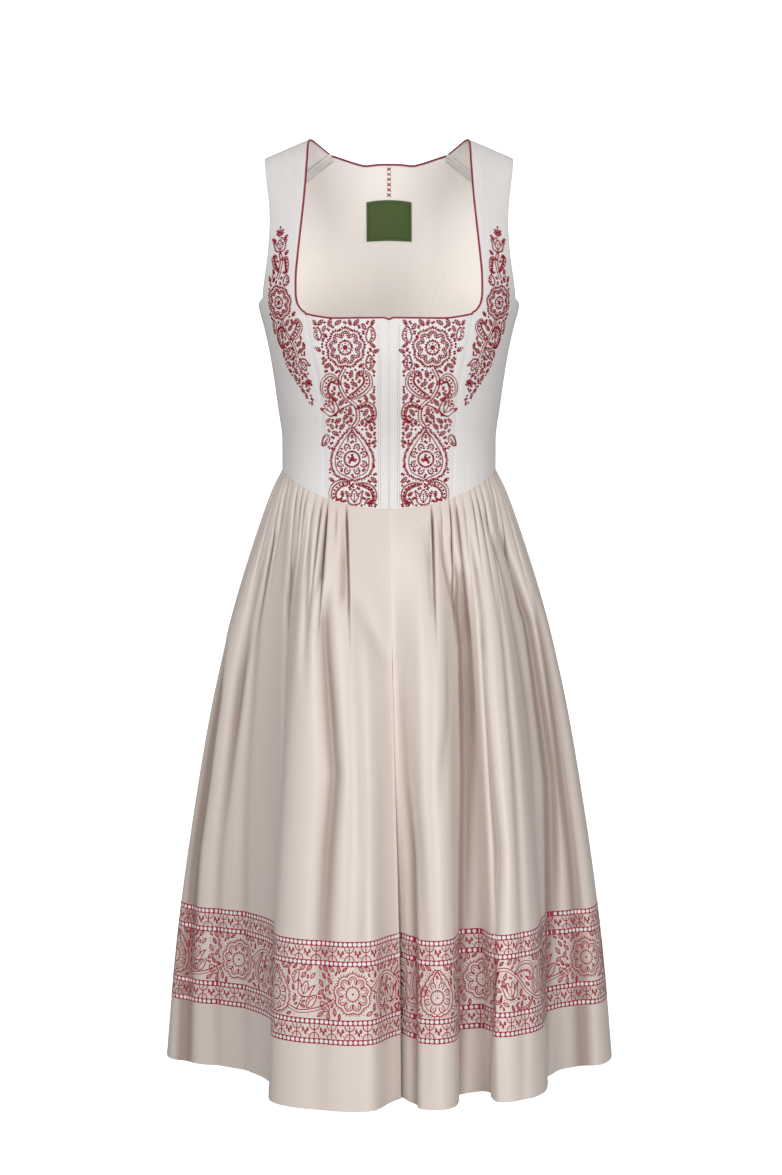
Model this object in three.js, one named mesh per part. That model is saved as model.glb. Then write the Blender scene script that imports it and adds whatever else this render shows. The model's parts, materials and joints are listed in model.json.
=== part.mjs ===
// A sleeveless midi dirndl, filled out as if worn: linen bodice with a square neck, satin skirt gathered
// at the waist. Millimetres, +Z up, the front faces -Y, the wearer's left is +X.
// The origin lies midway between the shoulder tops, where the garment is held.
import * as THREE from 'three';

// ---- Driving dimensions ----
const BODICE_WALL = 1.6;      // linen with its interlining
const LINING_WALL = 1.0;
const SKIRT_WALL = 1.2;
const SEAM_GAP = 0.3;         // between neighbouring pieces
const WAIST_GAP = 0.5;        // between bodice edge and skirt edge
const LAYER_GAP = 0.5;        // between a wall and what lies on it
const PIPING_RADIUS = 1.1;
const SEAM_TAPE_HALF = 4;     // half width of the covered shoulder seams
const SEAM_TAPE_WALL = 1.3;
const LABEL_HALF_WIDTH = 27;
const LABEL_TOP = 100;        // down the back from the shoulder line
const LABEL_BOTTOM = 138;
const LABEL_WALL = 0.7;
const LABEL_GAP = 0.7;
const PIPING_SETBACK = 0.22;  // share of the last step left free at the shoulder seam
const PIPING_END = 0.6;       // clear of the closing at the centre front
const PIPING_SIDES = 6;
const SEAM_TAPE_INSET = 0.03; // share of the shoulder seam left bare at each end

const SHOULDER_ROUND = 20;    // radius of the roll over the shoulder
const SHOULDER_SLOPE = 0.45;
const SHOULDER_POINT = 97;    // where the sloping line is at height zero
const NECK_ROUND = 40;        // softens the slope across the neck
const SLOPE_FULL = 40;        // the slope acts fully above this distance
const SLOPE_NONE = 200;       // and no longer below this one

const WAIST_SIDE_DROP = 380;
const WAIST_FRONT_DIP = 41;
const WAIST_BACK_DIP = 20;
const WAIST_CURVE = 1.8;
const FRONT_SQUARENESS = 2.5; // exponents of the body's sections
const BACK_SQUARENESS = 2.3;
const NORMAL_STEP = 0.5;      // millimetres and degrees, for the body's normals

const HEM_DROP = 1072;
const HEM_STEPS = 1200;
const WAIST_STEPS = 360;
const FRONT_SEAM_TURN = 2.6;     // where the centre seams meet the hem, in degrees round from the front
const BACK_SEAM_TURN = 180.5;
const PANEL_GAP = 0.25;          // half the gap between skirt panels
const FRONT_SMOOTH_WAIST = 44;   // ungathered waist beside the centre front
const FRONT_SMOOTH_HEM = 64;     // the same stretch of cloth at the hem
const GATHERS_FRONT = 15;        // gathers in each front panel
const GATHERS_BACK = 20;         // gathers in each back panel
const GATHER_DEPTH = 2.6;
const GATHER_MEAN = 0.8;         // each gather has its own size and its own reach down the skirt
const GATHER_SWINGS = [{ size: 0.35, rate: 2.4, phase: 0.7 }, { size: 0.15, rate: 5.1, phase: 0 }];
const GATHER_REACH = 0.2;
const GATHER_REACH_SWING = { size: 0.07, rate: 1.7, phase: 2 };
const GATHER_START = 0.012;
const GATHER_RISE = 0.05;
const COLUMNS_PER_GATHER = 4;
const SMOOTH_COLUMNS = 4;
const SLOPE_STEP = 0.02;         // share of the drop over which the skirt's slope is read

// Sections of the body: distance down the body from the shoulder line, half width, depths from the side line.
const SECTIONS = [
  { down: 0, half: 170, front: 0, back: 0 },
  { down: 20, half: 168, front: 19, back: 18 },
  { down: 40, half: 166, front: 36, back: 34 },
  { down: 70, half: 163, front: 57, back: 56 },
  { down: 110, half: 160, front: 80, back: 78 },
  { down: 150, half: 157, front: 98, back: 92 },
  { down: 190, half: 154, front: 114, back: 101 },
  { down: 212, half: 151, front: 122, back: 103 },
  { down: 235, half: 145, front: 131, back: 103 },
  { down: 260, half: 139.5, front: 136, back: 101 },
  { down: 290, half: 134.5, front: 131, back: 97 },
  { down: 330, half: 129, front: 117, back: 91 },
  { down: 365, half: 124.8, front: 104, back: 86 },
  { down: 400, half: 124.8, front: 98, back: 84 },
  { down: 440, half: 128, front: 101, back: 90 },
];

// Front seam from the waist to the neckline, then the neck edge of the strap and on to the back.
const FRONT_SEAM = [
  { down: 440, x: 73 },
  { down: 418, x: 73 },
  { down: 338, x: 75.6 },
  { down: 314, x: 77.6 },
  { down: 291, x: 80.8 },
  { down: 274, x: 84.6 },
  { down: 245, x: 90.2 },
  { down: 221, x: 94.5 },
];
const NECK_EDGE = [
  { along: -217, x: 99.2 },
  { along: -213, x: 102.4 },
  { along: -207, x: 105.2 },
  { along: -199, x: 106.6 },
  { along: -176, x: 106.8 },
  { along: -150, x: 104.7 },
  { along: -119, x: 101.6 },
  { along: -90, x: 98.8 },
  { along: -62, x: 96.8 },
  { along: -38, x: 95.6 },
  { along: -18, x: 95 },
  { along: 0, x: 93.5 },
  { along: 14, x: 88 },
  { along: 28, x: 79.5 },
  { along: 41.5, x: 69.4 },
];
const ARMHOLE_EDGE = [
  { along: -196, x: 145.2 },
  { along: -189, x: 144.4 },
  { along: -181, x: 143.3 },
  { along: -171, x: 142 },
  { along: -151, x: 139.3 },
  { along: -128, x: 137.6 },
  { along: -102, x: 136.8 },
  { along: -77, x: 137.8 },
  { along: -53, x: 140.4 },
  { along: -31, x: 142.8 },
  { along: -13, x: 144 },
  { along: 6, x: 144 },
  { along: 28, x: 143 },
  { along: 51, x: 140.6 },
  { along: 73.2, x: 139 },
];
const FRONT_NECKLINE = [
  { x: 0, down: 227.5 },
  { x: 6, down: 225.6 },
  { x: 60, down: 226 },
  { x: 80, down: 223.7 },
  { x: 94.5, down: 221 },
];
const BACK_NECKLINE = [
  { turn: 0, down: 68 },
  { turn: 9.4, down: 66.5 },
  { turn: 13, down: 62.5 },
  { turn: 19, down: 52.5 },
  { turn: 24.7, down: 41.5 },
];
const BACK_SEAM_LOW = [
  { down: 440, x: 36 },
  { down: 400, x: 37 },
  { down: 330, x: 40 },
  { down: 260, x: 44 },
  { down: 219, x: 48.2 },
];
const BACK_SEAM_HIGH = [
  { down: 204, x: 52.6 },
  { down: 180, x: 63.8 },
  { down: 152, x: 82 },
  { down: 130, x: 106 },
  { down: 119, x: 127 },
];
const BACK_ARMHOLE_HIGH = [
  { down: 190, x: 145 },
  { down: 170, x: 139.6 },
  { down: 152, x: 135.4 },
  { down: 135, x: 132.6 },
  { down: 119, x: 131 },
];
const BACK_ARMHOLE_TOP = [
  { down: 104, x: 133 },
  { down: 88, x: 136.4 },
  { down: 73.2, x: 139 },
];
const SIDE_FRONT_TURN = 72;     // degrees round from the front
const SIDE_BACK_TURN = 76;      // degrees round from the back
const SIDE_FRONT_TOP = 201;
const SIDE_BACK_TOP = 204;
const UNDERARM_SCOOP = 6;
const LOW_ROWS = 8;             // rows between the waist and the armholes
const FRONT_COLUMNS = 5;
const STRAP_COLUMNS = 6;
const SIDE_COLUMNS = 4;
const LINING_COLUMNS = 2;
const NECK_COLUMNS = 4;
const LABEL_ROWS = 4;
const LABEL_COLUMNS = 6;
const LOWERED_FROM = 0.34;      // share of the back's width where the lining's shoulder edge starts to drop
const LOWERED_OVER = 0.1;
const RISE_POWER = 1.5;         // how the centre back's rows bend towards the neckline
const DIP_POWER = 2;            // and towards the waist

// How far the skirt has flared from the waist to the hem, by the share of its drop.
const FLARE = [
  { below: 0, flare: 0 },
  { below: 0.03, flare: 0.065 },
  { below: 0.066, flare: 0.135 },
  { below: 0.117, flare: 0.225 },
  { below: 0.19, flare: 0.345 },
  { below: 0.27, flare: 0.46 },
  { below: 0.41, flare: 0.615 },
  { below: 0.55, flare: 0.735 },
  { below: 0.69, flare: 0.84 },
  { below: 0.84, flare: 0.93 },
  { below: 1, flare: 1 },
];
const GATHER_RINGS = [0, 0.035, 0.09, 0.17];
const FOLD_RINGS = [0.28, 0.4, 0.53, 0.68, 0.84, 1];
const CREST_SHOULDER = 0.972;   // a crest's radius at its two ends

// Folds at the hem, in degrees round from the front: each has a rounded crest and the trough after it.
const FOLDS = [
  { from: 8, to: 16.5, crest: 261, troughFrom: 23.5, troughTo: 30, trough: 213 },
  { from: 28.5, to: 43, crest: 263, troughFrom: 57, troughTo: 65, trough: 222 },
  { from: 73, to: 90, crest: 266, troughFrom: 99, troughTo: 104, trough: 224 },
  { from: 109, to: 120, crest: 262, troughFrom: 128, troughTo: 132, trough: 212 },
  { from: 134, to: 145, crest: 258, troughFrom: 153, troughTo: 157, trough: 214 },
  { from: 161, to: 172, crest: 254, troughFrom: 179, troughTo: 182, trough: 216 },
  { from: 188, to: 199, crest: 255, troughFrom: 206, troughTo: 211, trough: 210 },
  { from: 213, to: 226, crest: 259, troughFrom: 234, troughTo: 238, trough: 216 },
  { from: 243, to: 256, crest: 263, troughFrom: 262, troughTo: 265, trough: 240 },
  { from: 270, to: 283, crest: 265, troughFrom: 298, troughTo: 316, trough: 198 },
  { from: 330, to: 356, crest: 266, troughFrom: 362, troughTo: 363.5, trough: 208 },
];

// ---- Small helpers ----
const RAD = Math.PI / 180;
const lerp = (a, b, t) => a + (b - a) * t;
const smooth = (t) => t * t * (3 - 2 * t);
const clamp = (t, lo, hi) => Math.min(hi, Math.max(lo, t));

// Reads a column of a table between its rows, on a smooth curve that never overshoots a row.
function read(rows, key, value, column) {
  const rising = rows[rows.length - 1][key] > rows[0][key];
  let i = 0;
  const isPast = (limit) => (rising ? value > limit : value < limit);
  while (i < rows.length - 2 && isPast(rows[i + 1][key])) i += 1;
  const slope = (j) => (rows[j + 1][column] - rows[j][column]) / (rows[j + 1][key] - rows[j][key]);
  const tangent = (j) => {
    if (j === 0) return slope(0);
    if (j === rows.length - 1) return slope(j - 1);
    const before = slope(j - 1);
    const after = slope(j);
    return before * after <= 0 ? 0 : (2 * before * after) / (before + after);
  };
  const step = rows[i + 1][key] - rows[i][key];
  const t = clamp((value - rows[i][key]) / step, 0, 1);
  const t2 = t * t;
  const t3 = t2 * t;
  return (2 * t3 - 3 * t2 + 1) * rows[i][column] + (t3 - 2 * t2 + t) * step * tangent(i)
    + (3 * t2 - 2 * t3) * rows[i + 1][column] + (t3 - t2) * step * tangent(i + 1);
}

// ---- The body's form ----
// `along` runs over the shoulder: negative down the front, positive down the back.
// `turn` is in degrees from the centre line of that side, past 90 on the other side.
const dropAt = (down) => Math.hypot(down, SHOULDER_ROUND) - SHOULDER_ROUND;
const downAt = (drop) => Math.sqrt((drop + SHOULDER_ROUND) ** 2 - SHOULDER_ROUND ** 2);

function shoulderFall(down, x) {
  const fade = 1 - smooth(clamp((down - SLOPE_FULL) / (SLOPE_NONE - SLOPE_FULL), 0, 1));
  return fade * SHOULDER_SLOPE * (Math.hypot(x, NECK_ROUND) - Math.hypot(SHOULDER_POINT, NECK_ROUND));
}

function bodyPoint(along, turn) {
  const down = Math.abs(along);
  const round = along < 0 ? turn : 180 - turn;
  const side = Math.sin(round * RAD);
  const isFront = Math.abs(round) <= 90;
  const squareness = isFront ? FRONT_SQUARENESS : BACK_SQUARENESS;
  const depth = read(SECTIONS, 'down', down, isFront ? 'front' : 'back');
  const across = Math.max(0, 1 - Math.abs(side) ** squareness) ** (1 / squareness);
  const x = read(SECTIONS, 'down', down, 'half') * side;
  return new THREE.Vector3(x, (isFront ? -1 : 1) * depth * across, -dropAt(down) - shoulderFall(down, x));
}

function bodyNormal(along, turn) {
  const ahead = bodyPoint(along + NORMAL_STEP, turn).sub(bodyPoint(along - NORMAL_STEP, turn));
  const aside = bodyPoint(along, turn + NORMAL_STEP).sub(bodyPoint(along, turn - NORMAL_STEP));
  const normal = aside.cross(ahead).normalize();
  const centre = new THREE.Vector3(0, 0, -HEM_DROP / 4);
  const outward = bodyPoint(along, turn).sub(centre);
  return normal.dot(outward) < 0 ? normal.negate() : normal;
}

const turnAt = (down, x) => Math.asin(clamp(x / read(SECTIONS, 'down', down, 'half'), -1, 1)) / RAD;

function waistDown(turn, isFront) {
  const dip = isFront ? WAIST_FRONT_DIP : WAIST_BACK_DIP;
  return downAt(WAIST_SIDE_DROP + dip * Math.abs(Math.cos(turn * RAD)) ** WAIST_CURVE);
}

// ---- Closed walls from rows of points ----
// Each row is a list of {point, normal}; a row may have half as many steps as the one above it.
function wallGeometry(rows, lift, wall, mirrored) {
  const positions = [];
  const indices = [];
  const place = (node, distance) => {
    const p = node.point.clone().addScaledVector(node.normal, distance);
    positions.push(mirrored ? -p.x : p.x, p.y, p.z);
    return positions.length / 3 - 1;
  };
  const outer = rows.map((row) => row.map((node) => place(node, lift)));
  const inner = rows.map((row) => row.map((node) => place(node, lift - wall)));
  const face = (a, b, c) => indices.push(...(mirrored ? [a, c, b] : [a, b, c]));
  const sheet = (grid, turned) => {
    const tri = turned ? (a, b, c) => face(a, c, b) : face;
    for (let i = 0; i < grid.length - 1; i += 1) {
      const up = grid[i];
      const low = grid[i + 1];
      const ratio = (up.length - 1) / (low.length - 1);
      for (let j = 0; j < low.length - 1; j += 1) {
        const k = j * ratio;
        if (ratio === 2) tri(up[k + 1], low[j], low[j + 1]);
        tri(up[k], low[j], ratio === 2 ? up[k + 1] : low[j + 1]);
        tri(up[k + ratio], ratio === 2 ? up[k + 1] : up[k], low[j + 1]);
      }
    }
  };
  const rim = (outside, inside) => {
    for (let j = 0; j < outside.length - 1; j += 1) {
      face(outside[j], outside[j + 1], inside[j + 1]);
      face(outside[j], inside[j + 1], inside[j]);
    }
  };
  sheet(outer, false);
  sheet(inner, true);
  const last = rows.length - 1;
  rim(outer[0], inner[0]);
  rim([...outer[last]].reverse(), [...inner[last]].reverse());
  rim(outer.map((row) => row[0]).reverse(), inner.map((row) => row[0]).reverse());
  rim(outer.map((row) => row[row.length - 1]), inner.map((row) => row[row.length - 1]));
  const geometry = new THREE.BufferGeometry();
  geometry.setAttribute('position', new THREE.Float32BufferAttribute(positions, 3));
  geometry.setIndex(indices);
  geometry.computeVertexNormals();
  return geometry;
}

// ---- Bodice ----
// A station is a place on a seam, {along, turn}. Neighbouring pieces share their stations.
const share = (count) => Array.from({ length: count + 1 }, (_, i) => i / count);

function lowStations(isFront, turnOf, top) {
  const waistTurn = turnOf(downAt(WAIST_SIDE_DROP));
  const bottom = waistDown(waistTurn, isFront) - WAIST_GAP;
  return share(LOW_ROWS).map((s) => {
    const down = lerp(bottom, top, s);
    return { along: isFront ? -down : down, turn: turnOf(down) };
  });
}

const fromTable = (rows) => rows.map(({ along, x }) => ({ along, turn: turnAt(Math.abs(along), x) }));
const onBack = (rows) => rows.map(({ down, x }) => ({ along: down, turn: turnAt(down, x) }));

const frontSeamTurn = (down) => turnAt(down, read(FRONT_SEAM, 'down', down, 'x'));
const backSeamTurn = (down) => turnAt(down, read(BACK_SEAM_LOW, 'down', down, 'x'));
const frontSeam = lowStations(true, frontSeamTurn, FRONT_SEAM.at(-1).down);
const sideFrontSeam = lowStations(true, () => SIDE_FRONT_TURN, SIDE_FRONT_TOP);
const sideBackSeam = lowStations(false, () => SIDE_BACK_TURN, SIDE_BACK_TOP);
const backSeam = [...lowStations(false, backSeamTurn, BACK_SEAM_LOW.at(-1).down), ...onBack(BACK_SEAM_HIGH)];
const backArmhole = [...sideBackSeam, ...onBack(BACK_ARMHOLE_HIGH)];
const neckEdge = fromTable(NECK_EDGE);
const armholeEdge = fromTable(ARMHOLE_EDGE);

const inset = (station, distance) => {
  const half = read(SECTIONS, 'down', Math.abs(station.along), 'half');
  return { along: station.along, turn: station.turn + distance / half / RAD };
};

const bodyNode = (along, turn) => ({ point: bodyPoint(along, turn), normal: bodyNormal(along, turn) });

// A grid between two lists of stations; adjust(along, turn, row, u) may bend its rows.
function gridBetween(inner, outer, columns, adjust) {
  return inner.map((from, row) => columns.map((u) => {
    const start = inset(from, SEAM_GAP / 2);
    const end = inset(outer[row], -SEAM_GAP / 2);
    const turn = lerp(start.turn, end.turn, u);
    const along = lerp(start.along, end.along, u);
    return bodyNode(adjust ? adjust(along, turn, row, u) : along, turn);
  })).reverse();
}

function bendToWaist(isFront, inner, outer) {
  return (along, turn, row, u) => {
    const straight = lerp(inner[0].along, outer[0].along, u);
    const wanted = (isFront ? -1 : 1) * (waistDown(turn, isFront) - WAIST_GAP);
    return row >= LOW_ROWS ? along : along + (wanted - straight) * (1 - row / LOW_ROWS);
  };
}

function frontCentreRows() {
  const closing = frontSeam.map(({ along }) => ({ along, turn: 0 }));
  return gridBetween(closing, frontSeam, share(FRONT_COLUMNS), (along, turn, row, u) => {
    const bend = bendToWaist(true, closing, frontSeam)(along, turn, row, u);
    const x = u * FRONT_SEAM.at(-1).x;
    const top = -read(FRONT_NECKLINE, 'x', x, 'down');
    return bend + (top - frontSeam[LOW_ROWS].along) * (row / LOW_ROWS);
  });
}

function frontSideRows() {
  const inner = [...frontSeam, ...neckEdge];
  const outer = [...sideFrontSeam, ...armholeEdge];
  return gridBetween(inner, outer, share(STRAP_COLUMNS), (along, turn, row, u) => {
    const end = row === inner.length - 1 ? SEAM_GAP / 2 : 0;
    return bendToWaist(true, inner, outer)(along, turn, row, u) - end;
  });
}

function sideRows() {
  const outer = sideBackSeam.map(({ along, turn }) => ({ along: -along, turn: 180 - turn }));
  return gridBetween(sideFrontSeam, outer, share(SIDE_COLUMNS), (along, turn, row, u) => {
    const scoop = UNDERARM_SCOOP * Math.sin(Math.PI * u) * (row / LOW_ROWS);
    const isFront = turn <= 90;
    const wanted = -(waistDown(turn, isFront) - WAIST_GAP);
    const straight = lerp(sideFrontSeam[0].along, outer[0].along, u);
    return along - scoop + (wanted - straight) * (1 - row / LOW_ROWS);
  });
}

function backSideRows(columns) {
  return gridBetween(backSeam, backArmhole, columns, bendToWaist(false, backSeam, backArmhole));
}

// The centre back is ruled by its left edge. `stride` thins its columns.
const backEdge = [...backSeam, ...onBack(BACK_ARMHOLE_TOP)];

function backCentreColumns(stride) {
  const corner = BACK_NECKLINE.at(-1).turn / backEdge.at(-1).turn;
  const neck = share(NECK_COLUMNS).map((s) => s * corner);
  const shoulder = share(STRAP_COLUMNS / stride).slice(1).map((s) => lerp(corner, 1, s));
  const half = [...neck, ...shoulder];
  return [...half.slice(1).map((u) => -u).reverse(), ...half];
}

// `shoulderDrop` lowers the shoulder edges.
function backCentreRows(stride, shoulderDrop) {
  const topTurn = backEdge.at(-1).turn;
  const topDown = backEdge.at(-1).along;
  const corner = BACK_NECKLINE.at(-1);
  const topAt = (turn) => {
    if (turn <= corner.turn) return read(BACK_NECKLINE, 'turn', turn, 'down');
    return lerp(corner.down, topDown, (turn - corner.turn) / (topTurn - corner.turn));
  };
  const last = backEdge.length - 1;
  return backEdge.map((edge, row) => backCentreColumns(stride).map((u) => {
    const sideward = Math.abs(u);
    const turn = u * inset(edge, -SEAM_GAP / 2).turn;
    const part = smooth(clamp((sideward - LOWERED_FROM) / LOWERED_OVER, 0, 1));
    const lowered = shoulderDrop * part + SEAM_GAP / 2;
    const nearTop = clamp((row - backSeam.length + 1) / (last - backSeam.length + 1), 0, 1);
    const rise = (topAt(sideward * topTurn) - topDown) * (row / last) ** RISE_POWER;
    const dip = (waistDown(turn, false) - WAIST_GAP - backEdge[0].along) * (1 - row / last) ** DIP_POWER;
    return bodyNode(edge.along + rise + lowered * nearTop + dip, turn);
  })).reverse();
}

// ---- Piping: a cord on a row of edge nodes, just past the edge ----
function pipingGeometry(edge, beside, mirrored) {
  const centres = edge.map((node, i) => {
    const before = edge[Math.max(0, i - 1)].point;
    const after = edge[Math.min(edge.length - 1, i + 1)].point;
    const tangent = after.clone().sub(before).normalize();
    const away = node.point.clone().sub(beside[i].point);
    away.addScaledVector(tangent, -away.dot(tangent));
    away.addScaledVector(node.normal, -away.dot(node.normal)).normalize();
    const centre = node.point.clone().addScaledVector(away, SEAM_GAP + PIPING_RADIUS);
    centre.addScaledVector(node.normal, -BODICE_WALL / 2);
    return { centre, away, up: node.normal };
  });
  const positions = [];
  const indices = [];
  const flip = mirrored ? -1 : 1;
  for (const { centre, away, up } of centres) {
    for (let s = 0; s < PIPING_SIDES; s += 1) {
      const angle = (s / PIPING_SIDES) * 2 * Math.PI;
      const p = centre.clone().addScaledVector(away, Math.cos(angle) * PIPING_RADIUS);
      p.addScaledVector(up, Math.sin(angle) * PIPING_RADIUS);
      positions.push(flip * p.x, p.y, p.z);
    }
  }
  const ring = (i, s) => i * PIPING_SIDES + (s % PIPING_SIDES);
  for (let i = 0; i < centres.length - 1; i += 1) {
    for (let s = 0; s < PIPING_SIDES; s += 1) {
      indices.push(ring(i, s), ring(i + 1, s), ring(i + 1, s + 1));
      indices.push(ring(i, s), ring(i + 1, s + 1), ring(i, s + 1));
    }
  }
  const last = centres.length - 1;
  for (let s = 1; s < PIPING_SIDES - 1; s += 1) {
    indices.push(ring(0, 0), ring(0, s), ring(0, s + 1));
    indices.push(ring(last, 0), ring(last, s + 1), ring(last, s));
  }
  const geometry = new THREE.BufferGeometry();
  geometry.setAttribute('position', new THREE.Float32BufferAttribute(positions, 3));
  geometry.setIndex(indices);
  return outwardFacing(geometry);
}

// Turns every face round when the solid's volume comes out negative.
function outwardFacing(geometry) {
  const at = geometry.getAttribute('position');
  const index = geometry.getIndex().array;
  const a = new THREE.Vector3();
  const b = new THREE.Vector3();
  const c = new THREE.Vector3();
  let volume = 0;
  for (let i = 0; i < index.length; i += 3) {
    a.fromBufferAttribute(at, index[i]);
    b.fromBufferAttribute(at, index[i + 1]);
    c.fromBufferAttribute(at, index[i + 2]);
    volume += a.dot(b.cross(c));
  }
  if (volume < 0) {
    for (let i = 0; i < index.length; i += 3) {
      const first = index[i];
      index[i] = index[i + 1];
      index[i + 1] = first;
    }
  }
  geometry.computeVertexNormals();
  return geometry;
}

// ---- Skirt ----
const polar = (degrees, radius) => new THREE.Vector3(
  radius * Math.sin(degrees * RAD), -radius * Math.cos(degrees * RAD), -HEM_DROP);

const hemCurve = (() => {
  const points = FOLDS.flatMap((fold) => [
    polar(fold.from, fold.crest * CREST_SHOULDER),
    polar((fold.from + fold.to) / 2, fold.crest),
    polar(fold.to, fold.crest * CREST_SHOULDER),
    polar(fold.troughFrom, fold.trough),
    polar(fold.troughTo, fold.trough),
  ]);
  return new THREE.CatmullRomCurve3(points, true, 'centripetal');
})();

const hemPoints = hemCurve.getSpacedPoints(HEM_STEPS);
const hemLength = hemCurve.getLength();

// Cloth distance along the hem from the centre front seam to a direction, in degrees.
function hemDistance(degrees) {
  const wanted = ((degrees % 360) + 360) % 360;
  const roundOf = (p) => (Math.atan2(p.x, -p.y) / RAD + 360) % 360;
  let best = 0;
  let bestGap = Infinity;
  hemPoints.forEach((p, i) => {
    const gap = Math.abs(((roundOf(p) - wanted + 540) % 360) - 180);
    if (gap < bestGap) {
      best = i;
      bestGap = gap;
    }
  });
  return (best / HEM_STEPS) * hemLength;
}

function hemAt(distance) {
  const place = (((distance / hemLength) % 1) + 1) % 1 * HEM_STEPS;
  const i = Math.floor(place) % HEM_STEPS;
  return hemPoints[i].clone().lerp(hemPoints[i + 1], place - Math.floor(place));
}

function skirtWaistPoint(round) {
  const isFront = Math.abs(round) <= 90;
  const turn = isFront ? round : 180 - round;
  return bodyPoint((isFront ? -1 : 1) * waistDown(turn, isFront), turn);
}
const waistLengths = (() => {
  const lengths = [0];
  const step = 180 / WAIST_STEPS;
  for (let i = 1; i <= WAIST_STEPS; i += 1) {
    const before = skirtWaistPoint((i - 1) * step);
    lengths.push(lengths[i - 1] + skirtWaistPoint(i * step).distanceTo(before));
  }
  return lengths;
})();
const waistSide = waistLengths[WAIST_STEPS / 2];
const waistBack = waistLengths[WAIST_STEPS];

function waistRoundAt(length) {
  let i = 1;
  while (i < WAIST_STEPS && waistLengths[i] < length) i += 1;
  const t = (length - waistLengths[i - 1]) / (waistLengths[i] - waistLengths[i - 1]);
  return ((i - 1 + t) / WAIST_STEPS) * 180;
}

const swing = (index, { size, rate, phase }) => size * Math.sin(index * rate + phase);
const gatherSize = (index) => GATHER_SWINGS.reduce((sum, one) => sum + swing(index, one), GATHER_MEAN);

function gatherFade(index, below) {
  const reach = GATHER_REACH + swing(index, GATHER_REACH_SWING);
  const rise = smooth(clamp((below + GATHER_START) / GATHER_RISE, 0, 1));
  return rise * (1 - smooth(clamp(below / reach, 0, 1)));
}

// Columns of a panel: each has a cloth distance at the hem, a waist length, and its place in a gather.

function skirtColumns({ hemStart, hemEnd, waistStart, waistEnd, smoothHem, smoothWaist, gathers }) {
  const columns = [];
  const smoothSteps = smoothHem === 0 ? 0 : SMOOTH_COLUMNS;
  for (let i = 0; i < smoothSteps; i += 1) {
    const s = i / smoothSteps;
    columns.push({ hem: hemStart + s * smoothHem, waist: waistStart + s * smoothWaist, wave: 0, index: 0 });
  }
  const total = gathers * COLUMNS_PER_GATHER;
  for (let i = 0; i <= total; i += 1) {
    const s = i / total;
    const index = Math.floor(i / COLUMNS_PER_GATHER);
    columns.push({
      hem: lerp(hemStart + smoothHem, hemEnd, s),
      waist: lerp(waistStart + smoothWaist, waistEnd, s),
      wave: Math.sin((i / COLUMNS_PER_GATHER) * 2 * Math.PI),
      index,
    });
  }
  return columns;
}

function skirtPoint(column, below, side) {
  const waist = skirtWaistPoint(side * waistRoundAt(column.waist));
  const hem = hemAt(column.hem);
  const flare = read(FLARE, 'below', below, 'flare');
  const point = waist.clone().lerp(hem, flare);
  point.z = lerp(waist.z, -HEM_DROP, below);
  return point;
}

function skirtRows(panel) {
  const all = skirtColumns(panel);
  const { side } = panel;
  const gathered = GATHER_RINGS.map((below) => ({ below, stride: 1 }));
  const rings = [...gathered, ...FOLD_RINGS.map((below) => ({ below, stride: 2 }))];
  return rings.map(({ below, stride }) => {
    const columns = all.filter((_, i) => i % stride === 0);
    const points = columns.map((column) => skirtPoint(column, below, side));
    return points.map((point, i) => {
      const before = points[Math.max(0, i - 1)];
      const after = points[Math.min(points.length - 1, i + 1)];
      const lower = skirtPoint(columns[i], Math.min(1, below + SLOPE_STEP), side);
      const upper = skirtPoint(columns[i], Math.max(0, below - SLOPE_STEP), side);
      const across = after.clone().sub(before);
      const normal = across.cross(upper.sub(lower)).multiplyScalar(side).normalize();
      const { index } = columns[i];
      const wave = stride === 1 ? columns[i].wave : 0;
      const lift = GATHER_DEPTH * gatherSize(index) * gatherFade(index, below) * wave;
      return { point: point.clone().addScaledVector(normal, lift), normal };
    });
  });
}

// A panel is two solids that part along its middle, each simpler round the room inside the folds.

function movedAlong(from, to, distance) {
  const step = to.point.clone().sub(from.point).setLength(distance);
  return { point: from.point.clone().add(step), normal: from.normal };
}

function skirtHalves(rows) {
  const first = [];
  const second = [];
  for (const row of rows) {
    const middle = (row.length - 1) / 2;
    first.push([...row.slice(0, middle), movedAlong(row[middle], row[middle - 1], PANEL_GAP)]);
    second.push([movedAlong(row[middle], row[middle + 1], PANEL_GAP), ...row.slice(middle + 1)]);
  }
  return [first, second];
}

const frontSeamHem = hemDistance(FRONT_SEAM_TURN) - hemLength;
const leftSideHem = hemDistance(90);
const backSeamHem = hemDistance(BACK_SEAM_TURN);
const rightSideHem = hemDistance(270);

const SKIRT_PANELS = [
  { name: 'skirt_front_left', side: 1, from: frontSeamHem, to: leftSideHem, front: true },
  { name: 'skirt_back_left', side: 1, from: leftSideHem, to: backSeamHem, front: false },
  { name: 'skirt_front_right', side: -1, from: frontSeamHem + hemLength, to: rightSideHem, front: true },
  { name: 'skirt_back_right', side: -1, from: rightSideHem, to: backSeamHem, front: false },
].map(({ name, side, from, to, front }) => ({
  name,
  side,
  hemStart: from + side * PANEL_GAP,
  hemEnd: to - side * PANEL_GAP,
  waistStart: (front ? 0 : waistSide) + PANEL_GAP,
  waistEnd: (front ? waistSide : waistBack) - PANEL_GAP,
  halves: front ? ['inner', 'outer'] : ['outer', 'inner'],
  smoothHem: front ? side * FRONT_SMOOTH_HEM : 0,
  smoothWaist: front ? FRONT_SMOOTH_WAIST : 0,
  gathers: front ? GATHERS_FRONT : GATHERS_BACK,
}));

// ---- Materials ----
const cloth = (color, roughness) => new THREE.MeshStandardMaterial({ color, roughness, metalness: 0 });
const linen = () => cloth('#dcd6d4', 0.85);
const lining = () => cloth('#e0dbd4', 0.7);
const crimson = () => cloth('#8f1f35', 0.6);
const satin = () => cloth('#d8cfc8', 0.42);
const green = () => cloth('#3f6b33', 0.8);

// ---- Assembly ----
const dirndl = new THREE.Group();

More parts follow.
